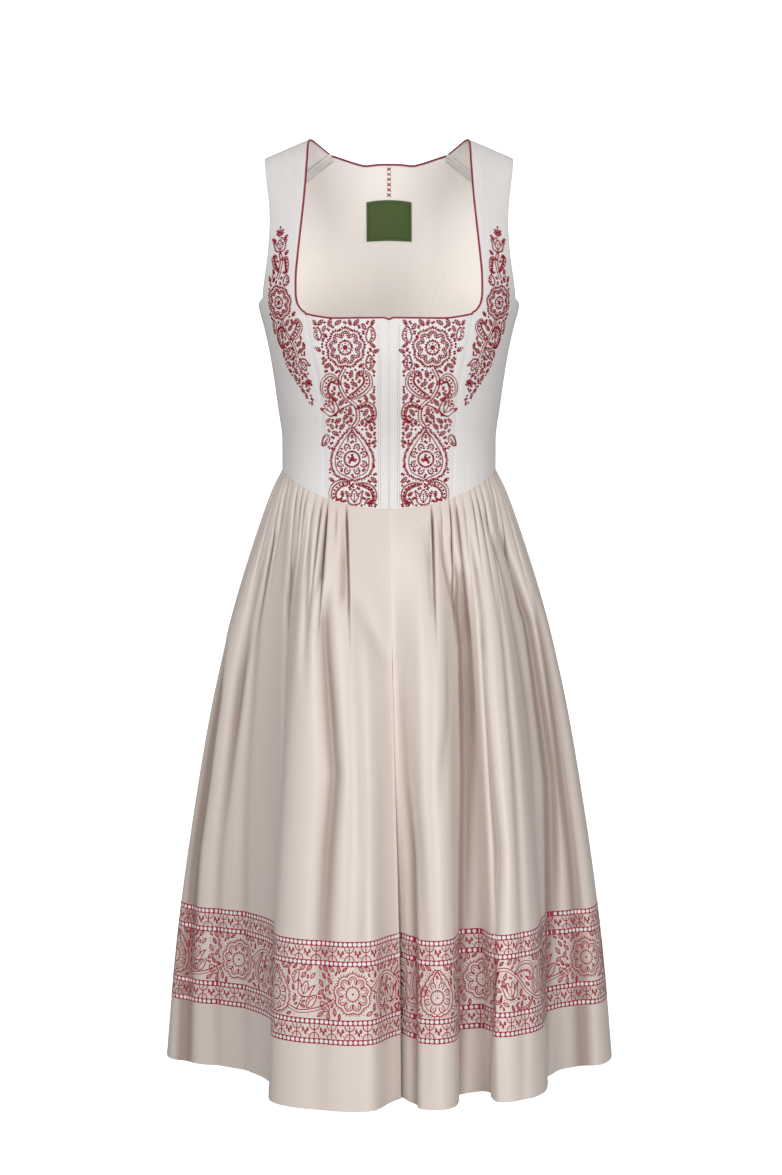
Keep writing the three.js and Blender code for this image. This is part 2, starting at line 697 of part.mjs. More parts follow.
function add(name, geometry, material) {
  const mesh = new THREE.Mesh(geometry, material);
  mesh.name = name;
  dirndl.add(mesh);
}

const SIDES = [{ label: 'left', mirrored: false }, { label: 'right', mirrored: true }];

function addBodice() {
  const panels = [
    ['bodice_front_center', frontCentreRows()],
    ['bodice_front_side', frontSideRows()],
    ['bodice_side', sideRows()],
  ];
  for (const { label, mirrored } of SIDES) {
    for (const [name, rows] of panels) {
      add(`${name}_${label}`, outwardFacing(wallGeometry(rows, 0, BODICE_WALL, mirrored)), linen());
    }
    const back = wallGeometry(backSideRows(share(SIDE_COLUMNS)), 0, BODICE_WALL, mirrored);
    add(`bodice_back_side_${label}`, outwardFacing(back), linen());
  }
  const centre = wallGeometry(backCentreRows(1, 0), 0, BODICE_WALL, false);
  add('bodice_back_center', outwardFacing(centre), linen());
}

function addLining() {
  const lift = -BODICE_WALL - LAYER_GAP;
  for (const { label, mirrored } of SIDES) {
    const geometry = wallGeometry(backSideRows(share(LINING_COLUMNS)), lift, LINING_WALL, mirrored);
    add(`lining_back_side_${label}`, outwardFacing(geometry), lining());
  }
  const centre = wallGeometry(backCentreRows(2, 2 * SEAM_TAPE_HALF), lift, LINING_WALL, false);
  add('lining_back_center', outwardFacing(centre), lining());
}

function addShoulderSeams() {
  const start = neckEdge.at(-1);
  const end = armholeEdge.at(-1);
  const rows = [SEAM_TAPE_HALF, 0, -SEAM_TAPE_HALF].map((across) => share(STRAP_COLUMNS).map((s) => {
    const u = lerp(SEAM_TAPE_INSET, 1 - SEAM_TAPE_INSET, s);
    return bodyNode(lerp(start.along, end.along, u) + across, lerp(start.turn, end.turn, u));
  }));
  for (const { label, mirrored } of SIDES) {
    const geometry = wallGeometry(rows, -BODICE_WALL - LAYER_GAP, SEAM_TAPE_WALL, mirrored);
    add(`shoulder_seam_${label}`, outwardFacing(geometry), linen());
  }
}

function addLabel() {
  const lift = -BODICE_WALL - LAYER_GAP - LINING_WALL - LABEL_GAP;
  const rows = share(LABEL_ROWS).map((s) => {
    const down = lerp(LABEL_TOP, LABEL_BOTTOM, s);
    return share(LABEL_COLUMNS).map((u) => {
      const x = lerp(LABEL_HALF_WIDTH, -LABEL_HALF_WIDTH, u);
      return bodyNode(down, turnAt(down, x));
    });
  });
  add('label', outwardFacing(wallGeometry(rows, lift, LABEL_WALL, false)), green());
}

// Draws the first node of a row back from the shoulder seam.
function trimmed(row) {
  const [first, second, ...rest] = row;
  const point = first.point.clone().lerp(second.point, PIPING_SETBACK);
  return [{ point, normal: first.normal }, second, ...rest];
}

function addPiping() {
  const front = frontCentreRows();
  const strap = frontSideRows().reverse().slice(LOW_ROWS);
  const edge = [...front[0], ...strap.slice(1).map((row) => row[0])];
  const beside = [...front[1], ...strap.slice(1).map((row) => row[1])];
  edge[0].point.x += PIPING_END;
  beside[0].point.x += PIPING_END;
  const ends = [edge, beside].map((row) => trimmed(row.reverse()));
  for (const { label, mirrored } of SIDES) {
    add(`piping_front_${label}`, pipingGeometry(...ends, mirrored), crimson());
  }
  const neck = (row) => row.slice(STRAP_COLUMNS, row.length - STRAP_COLUMNS);
  const back = backCentreRows(1, 0).slice(0, 2).map((row) => trimmed(trimmed(neck(row)).reverse()));
  add('piping_back', pipingGeometry(...back, false), crimson());
}

function addSkirt() {
  for (const panel of SKIRT_PANELS) {
    const [first, second] = skirtHalves(skirtRows(panel));
    const [firstName, secondName] = panel.halves;
    add(`${panel.name}_${firstName}`, outwardFacing(wallGeometry(first, 0, SKIRT_WALL, false)), satin());
    add(`${panel.name}_${secondName}`, outwardFacing(wallGeometry(second, 0, SKIRT_WALL, false)), satin());
  }
}

addBodice();
addLining();
addShoulderSeams();
addLabel();
addPiping();
addSkirt();

export default dirndl;
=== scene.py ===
"""Dirndl: linen bodice with a square neck and crimson embroidery, satin skirt gathered at the waist.

The looks are built as an add-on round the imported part. Metres, +Z up, the front faces -Y, the wearer's
left is +X. Pattern sizes are in millimetres of cloth and turned into metres where a surface is read.
"""

import json
import math
import random

import bpy
import numpy as np
from bpy.props import FloatProperty, FloatVectorProperty, PointerProperty
from bpy.types import Operator, Panel, PropertyGroup
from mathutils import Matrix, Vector

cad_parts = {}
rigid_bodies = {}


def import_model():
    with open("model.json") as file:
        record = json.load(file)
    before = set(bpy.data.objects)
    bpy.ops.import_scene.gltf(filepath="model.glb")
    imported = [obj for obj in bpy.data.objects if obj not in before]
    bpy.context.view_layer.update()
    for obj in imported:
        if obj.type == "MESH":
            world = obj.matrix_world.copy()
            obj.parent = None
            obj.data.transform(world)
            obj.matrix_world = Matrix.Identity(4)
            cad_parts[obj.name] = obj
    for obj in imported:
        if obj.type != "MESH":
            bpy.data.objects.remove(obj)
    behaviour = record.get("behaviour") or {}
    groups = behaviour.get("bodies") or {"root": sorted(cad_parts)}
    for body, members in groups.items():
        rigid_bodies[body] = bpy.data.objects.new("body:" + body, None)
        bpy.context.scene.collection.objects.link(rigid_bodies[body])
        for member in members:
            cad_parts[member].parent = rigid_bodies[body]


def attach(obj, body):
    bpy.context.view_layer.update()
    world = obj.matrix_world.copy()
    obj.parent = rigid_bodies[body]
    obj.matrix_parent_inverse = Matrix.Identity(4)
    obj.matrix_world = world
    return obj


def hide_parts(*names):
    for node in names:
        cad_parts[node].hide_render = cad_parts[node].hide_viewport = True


bl_info = {
    "name": "Dirndl",
    "version": (1, 0, 0),
    "blender": (4, 5, 0),
    "location": "View3D > Sidebar > Dirndl",
    "description": "Builds the cloth, sewing and embroidery of a dirndl round its CAD part",
    "category": "Object",
}

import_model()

MM = 0.001

# ---- The garment's form, in millimetres ----
BODICE_WALL = 1.6
LINING_WALL = 1.0
SKIRT_WALL = 1.2
CLOSING_GAP = 0.3
SEAM_GAP = -0.3
WAIST_GAP = 0.1
LAYER_GAP = 0.5
PIPING_RADIUS = 1.1
PIPING_SIDES = 12
PIPING_END = 0.6      # clear of the closing at the centre front
SEAM_TAPE_HALF = 4.0
SEAM_TAPE_WALL = 1.3
LABEL_HALF_WIDTH = 27.0
LABEL_TOP = 100.0
LABEL_BOTTOM = 138.0
LABEL_WALL = 0.7
LABEL_GAP = 0.7

SHOULDER_ROUND = 20.0
SHOULDER_SLOPE = 0.45
SHOULDER_POINT = 97.0
NECK_ROUND = 40.0
SLOPE_FULL = 40.0
SLOPE_NONE = 200.0

WAIST_SIDE_DROP = 380.0
WAIST_FRONT_DIP = 41.0
WAIST_BACK_DIP = 20.0
WAIST_CURVE = 1.8
FRONT_SQUARENESS = 2.5
BACK_SQUARENESS = 2.3

HEM_DROP = 1072.0
FRONT_SMOOTH_WAIST = 44.0
FRONT_SMOOTH_HEM = 64.0
GATHERS_FRONT = 15
GATHERS_BACK = 20
LOW_ROWS = 8

# Distance down the body from the shoulder line, half width, front depth, back depth.
SECTIONS = (
    (0, 170, 0, 0),
    (20, 168, 19, 18),
    (40, 166, 36, 34),
    (70, 163, 57, 56),
    (110, 160, 80, 78),
    (150, 157, 98, 92),
    (190, 154, 114, 101),
    (212, 151, 122, 103),
    (235, 145, 131, 103),
    (260, 139.5, 136, 101),
    (290, 134.5, 131, 97),
    (330, 129, 117, 91),
    (365, 124.8, 104, 86),
    (400, 124.8, 98, 84),
    (440, 128, 101, 90),
)
# Distance down the body and distance from the centre line.
FRONT_SEAM = (
    (221, 94.5), (245, 90.2), (274, 84.6), (291, 80.8), (314, 77.6), (338, 75.6), (418, 73), (440, 73),
)
BACK_SEAM_LOW = ((219, 48.2), (260, 44), (330, 40), (400, 37), (440, 36))
BACK_SEAM_HIGH = ((204, 52.6), (180, 63.8), (152, 82), (130, 106), (119, 127))
BACK_ARMHOLE_HIGH = ((190, 145), (170, 139.6), (152, 135.4), (135, 132.6), (119, 131))
BACK_ARMHOLE_TOP = ((104, 133), (88, 136.4), (73.2, 139))
# Place over the shoulder, front negative, and distance from the centre line.
NECK_EDGE = (
    (-217, 99.2), (-213, 102.4), (-207, 105.2), (-199, 106.6), (-176, 106.8), (-150, 104.7), (-119, 101.6),
    (-90, 98.8), (-62, 96.8), (-38, 95.6), (-18, 95), (0, 93.5), (14, 88), (28, 79.5), (41.5, 69.4),
)
ARMHOLE_EDGE = (
    (-196, 145.2), (-189, 144.4), (-181, 143.3), (-171, 142), (-151, 139.3), (-128, 137.6), (-102, 136.8),
    (-77, 137.8), (-53, 140.4), (-31, 142.8), (-13, 144), (6, 144), (28, 143), (51, 140.6), (73.2, 139),
)
FRONT_NECKLINE = ((0, 227.5), (6, 225.6), (60, 226), (80, 223.7), (94.5, 221))
BACK_NECKLINE = ((0, 68), (9.4, 66.5), (13, 62.5), (19, 52.5), (24.7, 41.5))
SIDE_FRONT_TURN = 72.0
SIDE_BACK_TURN = 76.0
SIDE_FRONT_TOP = 201.0
SIDE_BACK_TOP = 204.0
UNDERARM_SCOOP = 6.0

# Share of the skirt's drop, share of its flare.
FLARE = (
    (0, 0), (0.03, 0.065), (0.066, 0.135), (0.117, 0.225), (0.19, 0.345), (0.27, 0.46), (0.41, 0.615),
    (0.55, 0.735), (0.69, 0.84), (0.84, 0.93), (1, 1),
)
# Folds at the hem: crest from, to and radius, then trough from, to and radius; degrees and millimetres.
FOLDS = (
    (8, 16.5, 261, 23.5, 30, 213),
    (28.5, 43, 263, 57, 65, 222),
    (73, 90, 266, 99, 104, 224),
    (109, 120, 262, 128, 132, 212),
    (134, 145, 258, 153, 157, 214),
    (161, 172, 254, 179, 182, 216),
    (188, 199, 255, 206, 211, 210),
    (213, 226, 259, 234, 238, 216),
    (243, 256, 263, 262, 265, 240),
    (270, 283, 265, 298, 316, 198),
    (330, 356, 266, 362, 363.5, 208),
)
CREST_SHOULDER = 0.972
FRONT_SEAM_TURN = 2.6
BACK_SEAM_TURN = 180.5
PANEL_GAP = -0.3


def smooth(t):
    t = np.clip(t, 0, 1)
    return t * t * (3 - 2 * t)


def lerp(a, b, t):
    return a + (b - a) * t


def table(rows, column=1):
    """A reader of a table's column, on a smooth curve through its rows that never overshoots them."""
    rows = np.array(rows, float)
    rows = rows[np.argsort(rows[:, 0])]
    keys, values = rows[:, 0], rows[:, column]
    slopes = np.diff(values) / np.diff(keys)
    before, after = slopes[:-1], slopes[1:]
    rising = before * after > 0
    inner = np.where(rising, 2 * before * after / np.where(rising, before + after, 1), 0)
    tangents = np.concatenate([slopes[:1], inner, slopes[-1:]])

    def at(value):
        value = np.clip(np.asarray(value, float), keys[0], keys[-1])
        i = np.clip(np.searchsorted(keys, value, side="right") - 1, 0, len(keys) - 2)
        step = keys[i + 1] - keys[i]
        t = (value - keys[i]) / step
        t2, t3 = t * t, t**3
        return (
            (2 * t3 - 3 * t2 + 1) * values[i]
            + (t3 - 2 * t2 + t) * step * tangents[i]
            + (3 * t2 - 2 * t3) * values[i + 1]
            + (t3 - t2) * step * tangents[i + 1]
        )

    return at


half_at = table(SECTIONS, 1)
front_at = table(SECTIONS, 2)
back_at = table(SECTIONS, 3)
front_seam_x = table(FRONT_SEAM)
back_seam_x = table(BACK_SEAM_LOW)
front_neckline = table(FRONT_NECKLINE)
back_neckline = table(BACK_NECKLINE)
flare_at = table(FLARE)


def drop_at(down):
    return np.hypot(down, SHOULDER_ROUND) - SHOULDER_ROUND


def down_at(drop):
    return np.sqrt((drop + SHOULDER_ROUND) ** 2 - SHOULDER_ROUND**2)


def body_point(along, turn):
    """A point of the body, in metres; `along` runs over the shoulder, and `turn` is in degrees from the
    centre of the front or the back.
    """
    along, turn = np.broadcast_arrays(np.asarray(along, float), np.asarray(turn, float))
    down = np.abs(along)
    turned = np.where(along < 0, turn, 180 - turn)
    side = np.sin(np.radians(turned))
    is_front = np.abs(turned) <= 90
    squareness = np.where(is_front, FRONT_SQUARENESS, BACK_SQUARENESS)
    depth = np.where(is_front, front_at(down), back_at(down))
    across = np.maximum(0, 1 - np.abs(side) ** squareness) ** (1 / squareness)
    x = half_at(down) * side
    fade = 1 - smooth((down - SLOPE_FULL) / (SLOPE_NONE - SLOPE_FULL))
    fall = fade * SHOULDER_SLOPE * (np.hypot(x, NECK_ROUND) - math.hypot(SHOULDER_POINT, NECK_ROUND))
    y = np.where(is_front, -1, 1) * depth * across
    return np.stack([x, y, -drop_at(down) - fall], -1) * MM


def turn_at(down, x):
    return np.degrees(np.arcsin(np.clip(np.asarray(x, float) / half_at(down), -1, 1)))


def waist_down(turn, is_front):
    dip = np.where(is_front, WAIST_FRONT_DIP, WAIST_BACK_DIP)
    return down_at(WAIST_SIDE_DROP + dip * np.abs(np.cos(np.radians(turn))) ** WAIST_CURVE)


def unit(vectors):
    length = np.linalg.norm(vectors, axis=-1, keepdims=True)
    return vectors / np.maximum(length, 1e-12)


def grid_normals(points):
    """Unit normals of a grid of points, facing away from the garment's middle."""
    across = np.gradient(points, axis=1)
    downward = np.gradient(points, axis=0)
    normals = unit(np.cross(across, downward))
    centre = np.array([0.0, 0.0, -HEM_DROP * MM / 4])
    outward = points - centre
    outward[..., 2] *= 0.15
    return normals if np.sum(normals * outward) > 0 else -normals


# ---- Bodice panels: stations along their two edges, then a grid between them ----
def low_stations(is_front, turn_of, top):
    bottom = waist_down(turn_of(down_at(WAIST_SIDE_DROP)), is_front) - WAIST_GAP
    down = lerp(bottom, top, np.linspace(0, 1, LOW_ROWS + 1))
    return np.column_stack([-down if is_front else down, turn_of(down)])


def edge_stations(rows):
    along, x = np.array(rows, float).T
    return np.column_stack([along, turn_at(np.abs(along), x)])


def front_seam_turn(down):
    return turn_at(down, front_seam_x(down))


def back_seam_turn(down):
    return turn_at(down, back_seam_x(down))


front_seam = low_stations(True, front_seam_turn, FRONT_SEAM[0][0])
side_front_seam = low_stations(True, lambda down: np.full_like(down, SIDE_FRONT_TURN), SIDE_FRONT_TOP)
side_back_seam = low_stations(False, lambda down: np.full_like(down, SIDE_BACK_TURN), SIDE_BACK_TOP)
low_back_seam = low_stations(False, back_seam_turn, BACK_SEAM_LOW[0][0])
back_seam = np.vstack([low_back_seam, edge_stations(BACK_SEAM_HIGH)])
back_armhole = np.vstack([side_back_seam, edge_stations(BACK_ARMHOLE_HIGH)])
back_edge = np.vstack([back_seam, edge_stations(BACK_ARMHOLE_TOP)])


def fine_stations(stations, row):
    index = np.arange(len(stations))
    along = table(np.column_stack([index, stations[:, 0]]))(row)
    return along, table(np.column_stack([index, stations[:, 1]]))(row)


def inset(along, turn, distance):
    return turn + np.degrees(distance / half_at(np.abs(along)))


def between(inner, outer, row, u):
    """Places between two edges: along, turn, and the straight waist line there."""
    along_a, turn_a = fine_stations(inner, row)
    along_b, turn_b = fine_stations(outer, row)
    turn_a = inset(along_a, turn_a, (SEAM_GAP if inner[0, 1] > 0 else CLOSING_GAP) / 2)
    turn_b = inset(along_b, turn_b, -SEAM_GAP / 2)
    turn = lerp(turn_a[:, None], turn_b[:, None], u[None, :])
    along = lerp(along_a[:, None], along_b[:, None], u[None, :])
    return along, turn, lerp(inner[0, 0], outer[0, 0], u)[None, :]


def bend_to_waist(along, turn, straight, row, is_front):
    wanted = np.where(is_front, -1, 1) * (waist_down(turn, is_front) - WAIST_GAP)
    share = np.clip(1 - row / LOW_ROWS, 0, 1)[:, None]
    return along + (wanted - straight) * share


def front_center_grid(row, u):
    closing = np.column_stack([front_seam[:, 0], 0 * front_seam[:, 1]])
    along, turn, straight = between(closing, front_seam, row, u)
    along = bend_to_waist(along, turn, straight, row, True)
    top = -front_neckline(u * FRONT_SEAM[0][1])
    along = along + (top - front_seam[LOW_ROWS, 0])[None, :] * (row / LOW_ROWS)[:, None]
    return body_point(along, turn)


def front_side_grid(row, u):
    inner = np.vstack([front_seam, edge_stations(NECK_EDGE)])
    outer = np.vstack([side_front_seam, edge_stations(ARMHOLE_EDGE)])
    along, turn, straight = between(inner, outer, row, u)
    along = bend_to_waist(along, turn, straight, row, True)
    along[row >= len(inner) - 1] -= SEAM_GAP / 2
    return body_point(along, turn)


def side_grid(row, u):
    outer = np.column_stack([-side_back_seam[:, 0], 180 - side_back_seam[:, 1]])
    along, turn, straight = between(side_front_seam, outer, row, u)
    along = along - UNDERARM_SCOOP * np.sin(math.pi * u)[None, :] * (row / LOW_ROWS)[:, None]
    wanted = -(waist_down(turn, turn <= 90) - WAIST_GAP)
    return body_point(along + (wanted - straight) * (1 - row / LOW_ROWS)[:, None], turn)


def back_side_grid(row, u):
    along, turn, straight = between(back_seam, back_armhole, row, u)
    return body_point(bend_to_waist(along, turn, straight, row, False), turn)


NECK_CORNER = BACK_NECKLINE[-1][0] / back_edge[-1, 1]


def back_center_grid(row, u, shoulder_drop=0.0):
    top_turn, top_down = back_edge[-1, 1], back_edge[-1, 0]
    corner_turn, corner_down = BACK_NECKLINE[-1]
    last = len(back_edge) - 1
    edge_along, edge_turn = fine_stations(back_edge, row)
    turn = u[None, :] * inset(edge_along, edge_turn, -SEAM_GAP / 2)[:, None]
    sideward = np.abs(u)
    top_at = np.where(
        sideward * top_turn <= corner_turn,
        back_neckline(sideward * top_turn),
        lerp(corner_down, top_down, (sideward * top_turn - corner_turn) / (top_turn - corner_turn)),
    )
    lowered = shoulder_drop * smooth((sideward - 0.34) / 0.1) + SEAM_GAP / 2
    near_top = np.clip((row - len(back_seam) + 1) / (last - len(back_seam) + 1), 0, 1)
    rise = (top_at - top_down)[None, :] * ((row / last) ** 1.5)[:, None]
    dip = waist_down(turn, False) - WAIST_GAP - back_edge[0, 0]
    along = edge_along[:, None] + rise + lowered[None, :] * near_top[:, None]
    return body_point(along + dip * ((1 - row / last) ** 2)[:, None], turn)


# ---- Skirt ----
def hem_curve(steps=6000):
    """The closed line of the hem, as points and their cloth distance from the first fold."""
    knots = []
    for start, end, crest, trough_from, trough_to, trough in FOLDS:
        knots += [
            (start, crest * CREST_SHOULDER),
            ((start + end) / 2, crest),
            (end, crest * CREST_SHOULDER),
            (trough_from, trough),
            (trough_to, trough),
        ]
    turn, radius = np.array(knots, float).T
    knots = np.column_stack([radius * np.sin(np.radians(turn)), -radius * np.cos(np.radians(turn))])
    count = len(knots)
    place = np.linspace(0, count, steps, endpoint=False)
    i = place.astype(int)
    t = (place - i)[:, None]
    p = [knots[(i + k) % count] for k in (-1, 0, 1, 2)]
    gap = [np.maximum(np.linalg.norm(p[k + 1] - p[k], axis=1) ** 0.5, 1e-9)[:, None] for k in range(3)]
    start = (p[1] - p[0]) / gap[0] - (p[2] - p[0]) / (gap[0] + gap[1]) + (p[2] - p[1]) / gap[1]
    end = (p[2] - p[1]) / gap[1] - (p[3] - p[1]) / (gap[1] + gap[2]) + (p[3] - p[2]) / gap[2]
    start, end = start * gap[1], end * gap[1]
    square, cube = -3 * p[1] + 3 * p[2] - 2 * start - end, 2 * p[1] - 2 * p[2] + start + end
    points = p[1] + start * t + square * t**2 + cube * t**3
    closed = np.vstack([points, points[:1]])
    distance = np.concatenate([[0], np.cumsum(np.linalg.norm(np.diff(closed, axis=0), axis=1))])
    return closed, distance


HEM_POINTS, HEM_DISTANCE = hem_curve()
HEM_LENGTH = HEM_DISTANCE[-1]


def hem_distance(degrees):
    """Cloth distance along the hem to a direction, in degrees round from the front."""
    turned = np.degrees(np.arctan2(HEM_POINTS[:-1, 0], -HEM_POINTS[:-1, 1]))
    gap = np.abs((turned - degrees + 540) % 360 - 180)
    return HEM_DISTANCE[np.argmin(gap)]


def hem_at(distance):
    place = np.mod(distance, HEM_LENGTH)
    x = np.interp(place, HEM_DISTANCE, HEM_POINTS[:, 0])
    return x, np.interp(place, HEM_DISTANCE, HEM_POINTS[:, 1])


def skirt_waist_point(turned):
    is_front = np.abs(turned) <= 90
    turn = np.where(is_front, turned, 180 - turned)
    return body_point(np.where(is_front, -1, 1) * waist_down(turn, is_front), turn)


WAIST_TURNS = np.linspace(0, 180, 361)
WAIST_LENGTHS = np.concatenate(
    [[0], np.cumsum(np.linalg.norm(np.diff(skirt_waist_point(WAIST_TURNS), axis=0), axis=1))]
) / MM
WAIST_SIDE = WAIST_LENGTHS[180]
WAIST_BACK = WAIST_LENGTHS[360]


def skirt_point(hem, waist, below, side):
    """Points of the smooth skirt: cloth distance at the hem, length round the waist, share of the drop."""
    turned = side * np.interp(waist, WAIST_LENGTHS, WAIST_TURNS)
    top = skirt_waist_point(turned)[None, :, :]
    x, y = hem_at(hem)
    flare = flare_at(below)[:, None]
    out = np.empty((len(below), len(hem), 3))
    out[..., 0] = lerp(top[..., 0], x[None, :] * MM, flare)
    out[..., 1] = lerp(top[..., 1], y[None, :] * MM, flare)
    out[..., 2] = lerp(top[..., 2], -HEM_DROP * MM, below[:, None])
    return out


FRONT_SEAM_HEM = hem_distance(FRONT_SEAM_TURN) - HEM_LENGTH
LEFT_SIDE_HEM = hem_distance(90)
BACK_SEAM_HEM = hem_distance(BACK_SEAM_TURN)
RIGHT_SIDE_HEM = hem_distance(270)
# Name, side, cloth distance at the hem from and to, whether it is a front.
SKIRT_PANELS = (
    ("front_left", 1, FRONT_SEAM_HEM, LEFT_SIDE_HEM, True),
    ("back_left", 1, LEFT_SIDE_HEM, BACK_SEAM_HEM, False),
    ("front_right", -1, FRONT_SEAM_HEM + HEM_LENGTH, RIGHT_SIDE_HEM, True),
    ("back_right", -1, RIGHT_SIDE_HEM, BACK_SEAM_HEM, False),
)


# ---- Embroidery patterns: lines and knots on flat cloth, in millimetres, down the page ----
MAIN = 2.15          # breadth of the outlines' thread
FINE = 1.55          # and of what fills them
LINE_STEP = 1.2      # between the points of a curve
ARC_STEP = 1.3
STEM_GAP = 3.3       # between the two lines of a stem
SCALLOP = 3.6        # length of a curling leaf's scallops


def spline(points):
    """A smooth line through points."""
    points = np.array(points, float)
    padded = np.vstack([2 * points[0] - points[1], points, 2 * points[-1] - points[-2]])
    pieces = []
    for i in range(len(points) - 1):
        a, b, c, d = padded[i : i + 4]
        count = max(2, int(np.linalg.norm(c - b) / LINE_STEP) + 1)
        t = np.linspace(0, 1, count, endpoint=False)[:, None]
        square, cube = 2 * a - 5 * b + 4 * c - d, 3 * b - a - 3 * c + d
        pieces.append(b + 0.5 * ((c - a) * t + square * t**2 + cube * t**3))
    return np.vstack(pieces + [points[-1:]])


def arc(radius, start, end, x=0.0, y=0.0):
    """Part of a circle, in degrees clockwise from the top."""
    count = int(abs(end - start) / 360 * 2 * math.pi * radius / ARC_STEP) + 1
    angle = np.radians(np.linspace(start, end, max(5, count)))
    return np.column_stack([x + radius * np.sin(angle), y - radius * np.cos(angle)])


def line_length(line):
    return np.concatenate([[0], np.cumsum(np.linalg.norm(np.diff(line, axis=0), axis=1))])


def spaced(line, step):
    """A line's points at an even step."""
    length = line_length(line)
    place = np.linspace(0, length[-1], max(2, int(round(length[-1] / step)) + 1))
    return np.column_stack([np.interp(place, length, line[:, axis]) for axis in (0, 1)])


def sideways(line):
    tangent = unit(np.gradient(line, axis=0))
    return np.column_stack([tangent[:, 1], -tangent[:, 0]])


def beside(line, offset):
    """A line moved to its left, by one distance or one for each point."""
    return line + sideways(line) * np.broadcast_to(offset, len(line))[:, None]


class Pattern:
    """Lines with a breadth, and round knots with a size."""

    def __init__(self):
        self.lines = []
        self.knots = []

    def line(self, points, breadth=MAIN):
        self.lines.append((np.asarray(points, float), breadth))

    def curve(self, *points, breadth=MAIN):
        line = spline(points)
        self.line(line, breadth)
        return line

    def knot(self, x, y, size=2.5):
        self.knots.append((x, y, size))

    def ticks(self, line, length, spacing, lean=0.0, breadth=FINE, trim=1):
        """Short stitches off a line, to its left where `length` is positive."""
        line = spaced(line, spacing)
        away = sideways(line) + lean * unit(np.gradient(line, axis=0))
        for root, out in list(zip(line, away * length))[trim : len(line) - trim]:
            self.line([root, root + out], breadth)

    def beads(self, line, spacing, size=1.6, trim=1):
        for x, y in spaced(line, spacing)[trim:-trim]:
            self.knot(x, y, size)

    def place(self, other, x=0, y=0, turn=0.0, mirror=False):
        """Another pattern set down at a place, turned clockwise in degrees."""
        c, s = math.cos(math.radians(turn)), math.sin(math.radians(turn))
        matrix = np.array([[c, s], [-s, c]])
        flip = np.array([-1.0 if mirror else 1.0, 1.0])
        self.lines += [(line * flip @ matrix + (x, y), breadth) for line, breadth in other.lines]
        for kx, ky, size in other.knots:
            self.knot(*(np.array([kx, ky]) * flip @ matrix + (x, y)), size)

    def kept(self, inside):
        """The pattern without what lies outside a test of points."""
        result = Pattern()
        for line, breadth in self.lines:
            line = line if len(line) > 2 else spaced(line, 1.0)
            good = inside(line)
            starts = np.flatnonzero(np.diff(np.concatenate([[False], good, [False]]).astype(int)))
            for first, last in zip(starts[::2], starts[1::2]):
                if last - first > 1:
                    result.line(line[first:last], breadth)
        for x, y, size in self.knots:
            if inside(np.array([[x, y]]))[0]:
                result.knot(x, y, size)
        return result


def seed(length=7.0, width=3.2, lines=1):
    """An almond leaf on its tip, pointing up."""
    motif = Pattern()
    motif.curve((0, 0), (-width / 2, -length * 0.45), (0, -length))
    motif.curve((0, 0), (width / 2, -length * 0.45), (0, -length))
    if lines > 1:
        motif.curve((0, -length * 0.2), (0, -length * 0.7), breadth=FINE)
    return motif


def toothed_leaf(length, width, bend=0.0):
    """A leaf with a smooth back, a toothed front and a beaded rib, pointing up."""
    motif = Pattern()
    tip = (bend, -length)
    motif.curve((0, 0), (-width * 0.55, -length * 0.35), (bend * 0.4 - width * 0.4, -length * 0.75), tip)
    front = spline([(0, 0), (width * 0.5, -length * 0.3), (bend * 0.6 + width * 0.32, -length * 0.72), tip])
    waves = line_length(front)
    count = max(3, int(waves[-1] / 3.4))
    motif.line(beside(front, -0.9 * np.abs(np.sin(math.pi * count * waves / waves[-1]))), MAIN)
    rib = spline([(0, -length * 0.1), (-width * 0.08, -length * 0.45), (bend * 0.7, -length * 0.82)])
    motif.line(rib, FINE)
    motif.ticks(rib, width * 0.28, 3.4, 0.7)
    return motif


def crosier(points, width):
    """A leaf that follows a curling line: a double rib, a scalloped front and beads between."""
    motif = Pattern()
    rib = spline(points)
    share = line_length(rib) / line_length(rib)[-1]
    swell = np.sin(math.pi * share**0.8) ** 0.8
    motif.line(rib)
    motif.line(beside(rib, 3.2 * swell), FINE)
    count = max(4, int(line_length(rib)[-1] / SCALLOP))
    lobes = 1 - 0.22 * np.abs(np.cos(math.pi * count * share))
    front = beside(rib, -width * swell * lobes)
    motif.line(front)
    motif.beads(beside(rib, -width * 0.46 * swell), 4.2, 2.1, 2)
    motif.ticks(front, -2.2, 3.0, 0.5, FINE, 2)
    return motif


def tulip(height, width, petals=3):
    """An open tulip with toothed petals, standing on the origin."""
    motif = Pattern()
    for side in (-1, 1):
        motif.curve((0, 0), (side * width * 0.36, -height * 0.12), (side * width * 0.44, -height * 0.5),
                    (side * width * 0.56, -height * 0.96))
        motif.curve((side * width * 0.56, -height * 0.96), (side * width * 0.32, -height * 0.74),
                    (side * width * 0.2, -height * 0.56))
        motif.curve((0, -height * 0.14), (side * width * 0.15, -height * 0.34),
                    (side * width * 0.3, -height * 0.62),
                    breadth=FINE)
        if petals > 3:
            motif.curve((side * width * 0.2, -height * 0.56), (side * width * 0.26, -height * 0.86),
                        (side * width * 0.14, -height * 1.04), (side * width * 0.06, -height * 0.7))
        else:
            motif.curve((side * width * 0.2, -height * 0.56), (side * width * 0.14, -height * 0.86),
                        (0, -height * 1.05))
    motif.curve((0, -height * 0.2), (0, -height * 0.78), breadth=FINE)
    motif.line([(-width * 0.16, height * 0.02), (width * 0.16, height * 0.02)])
    motif.knot(0, height * 0.1, 2.2)
    return motif


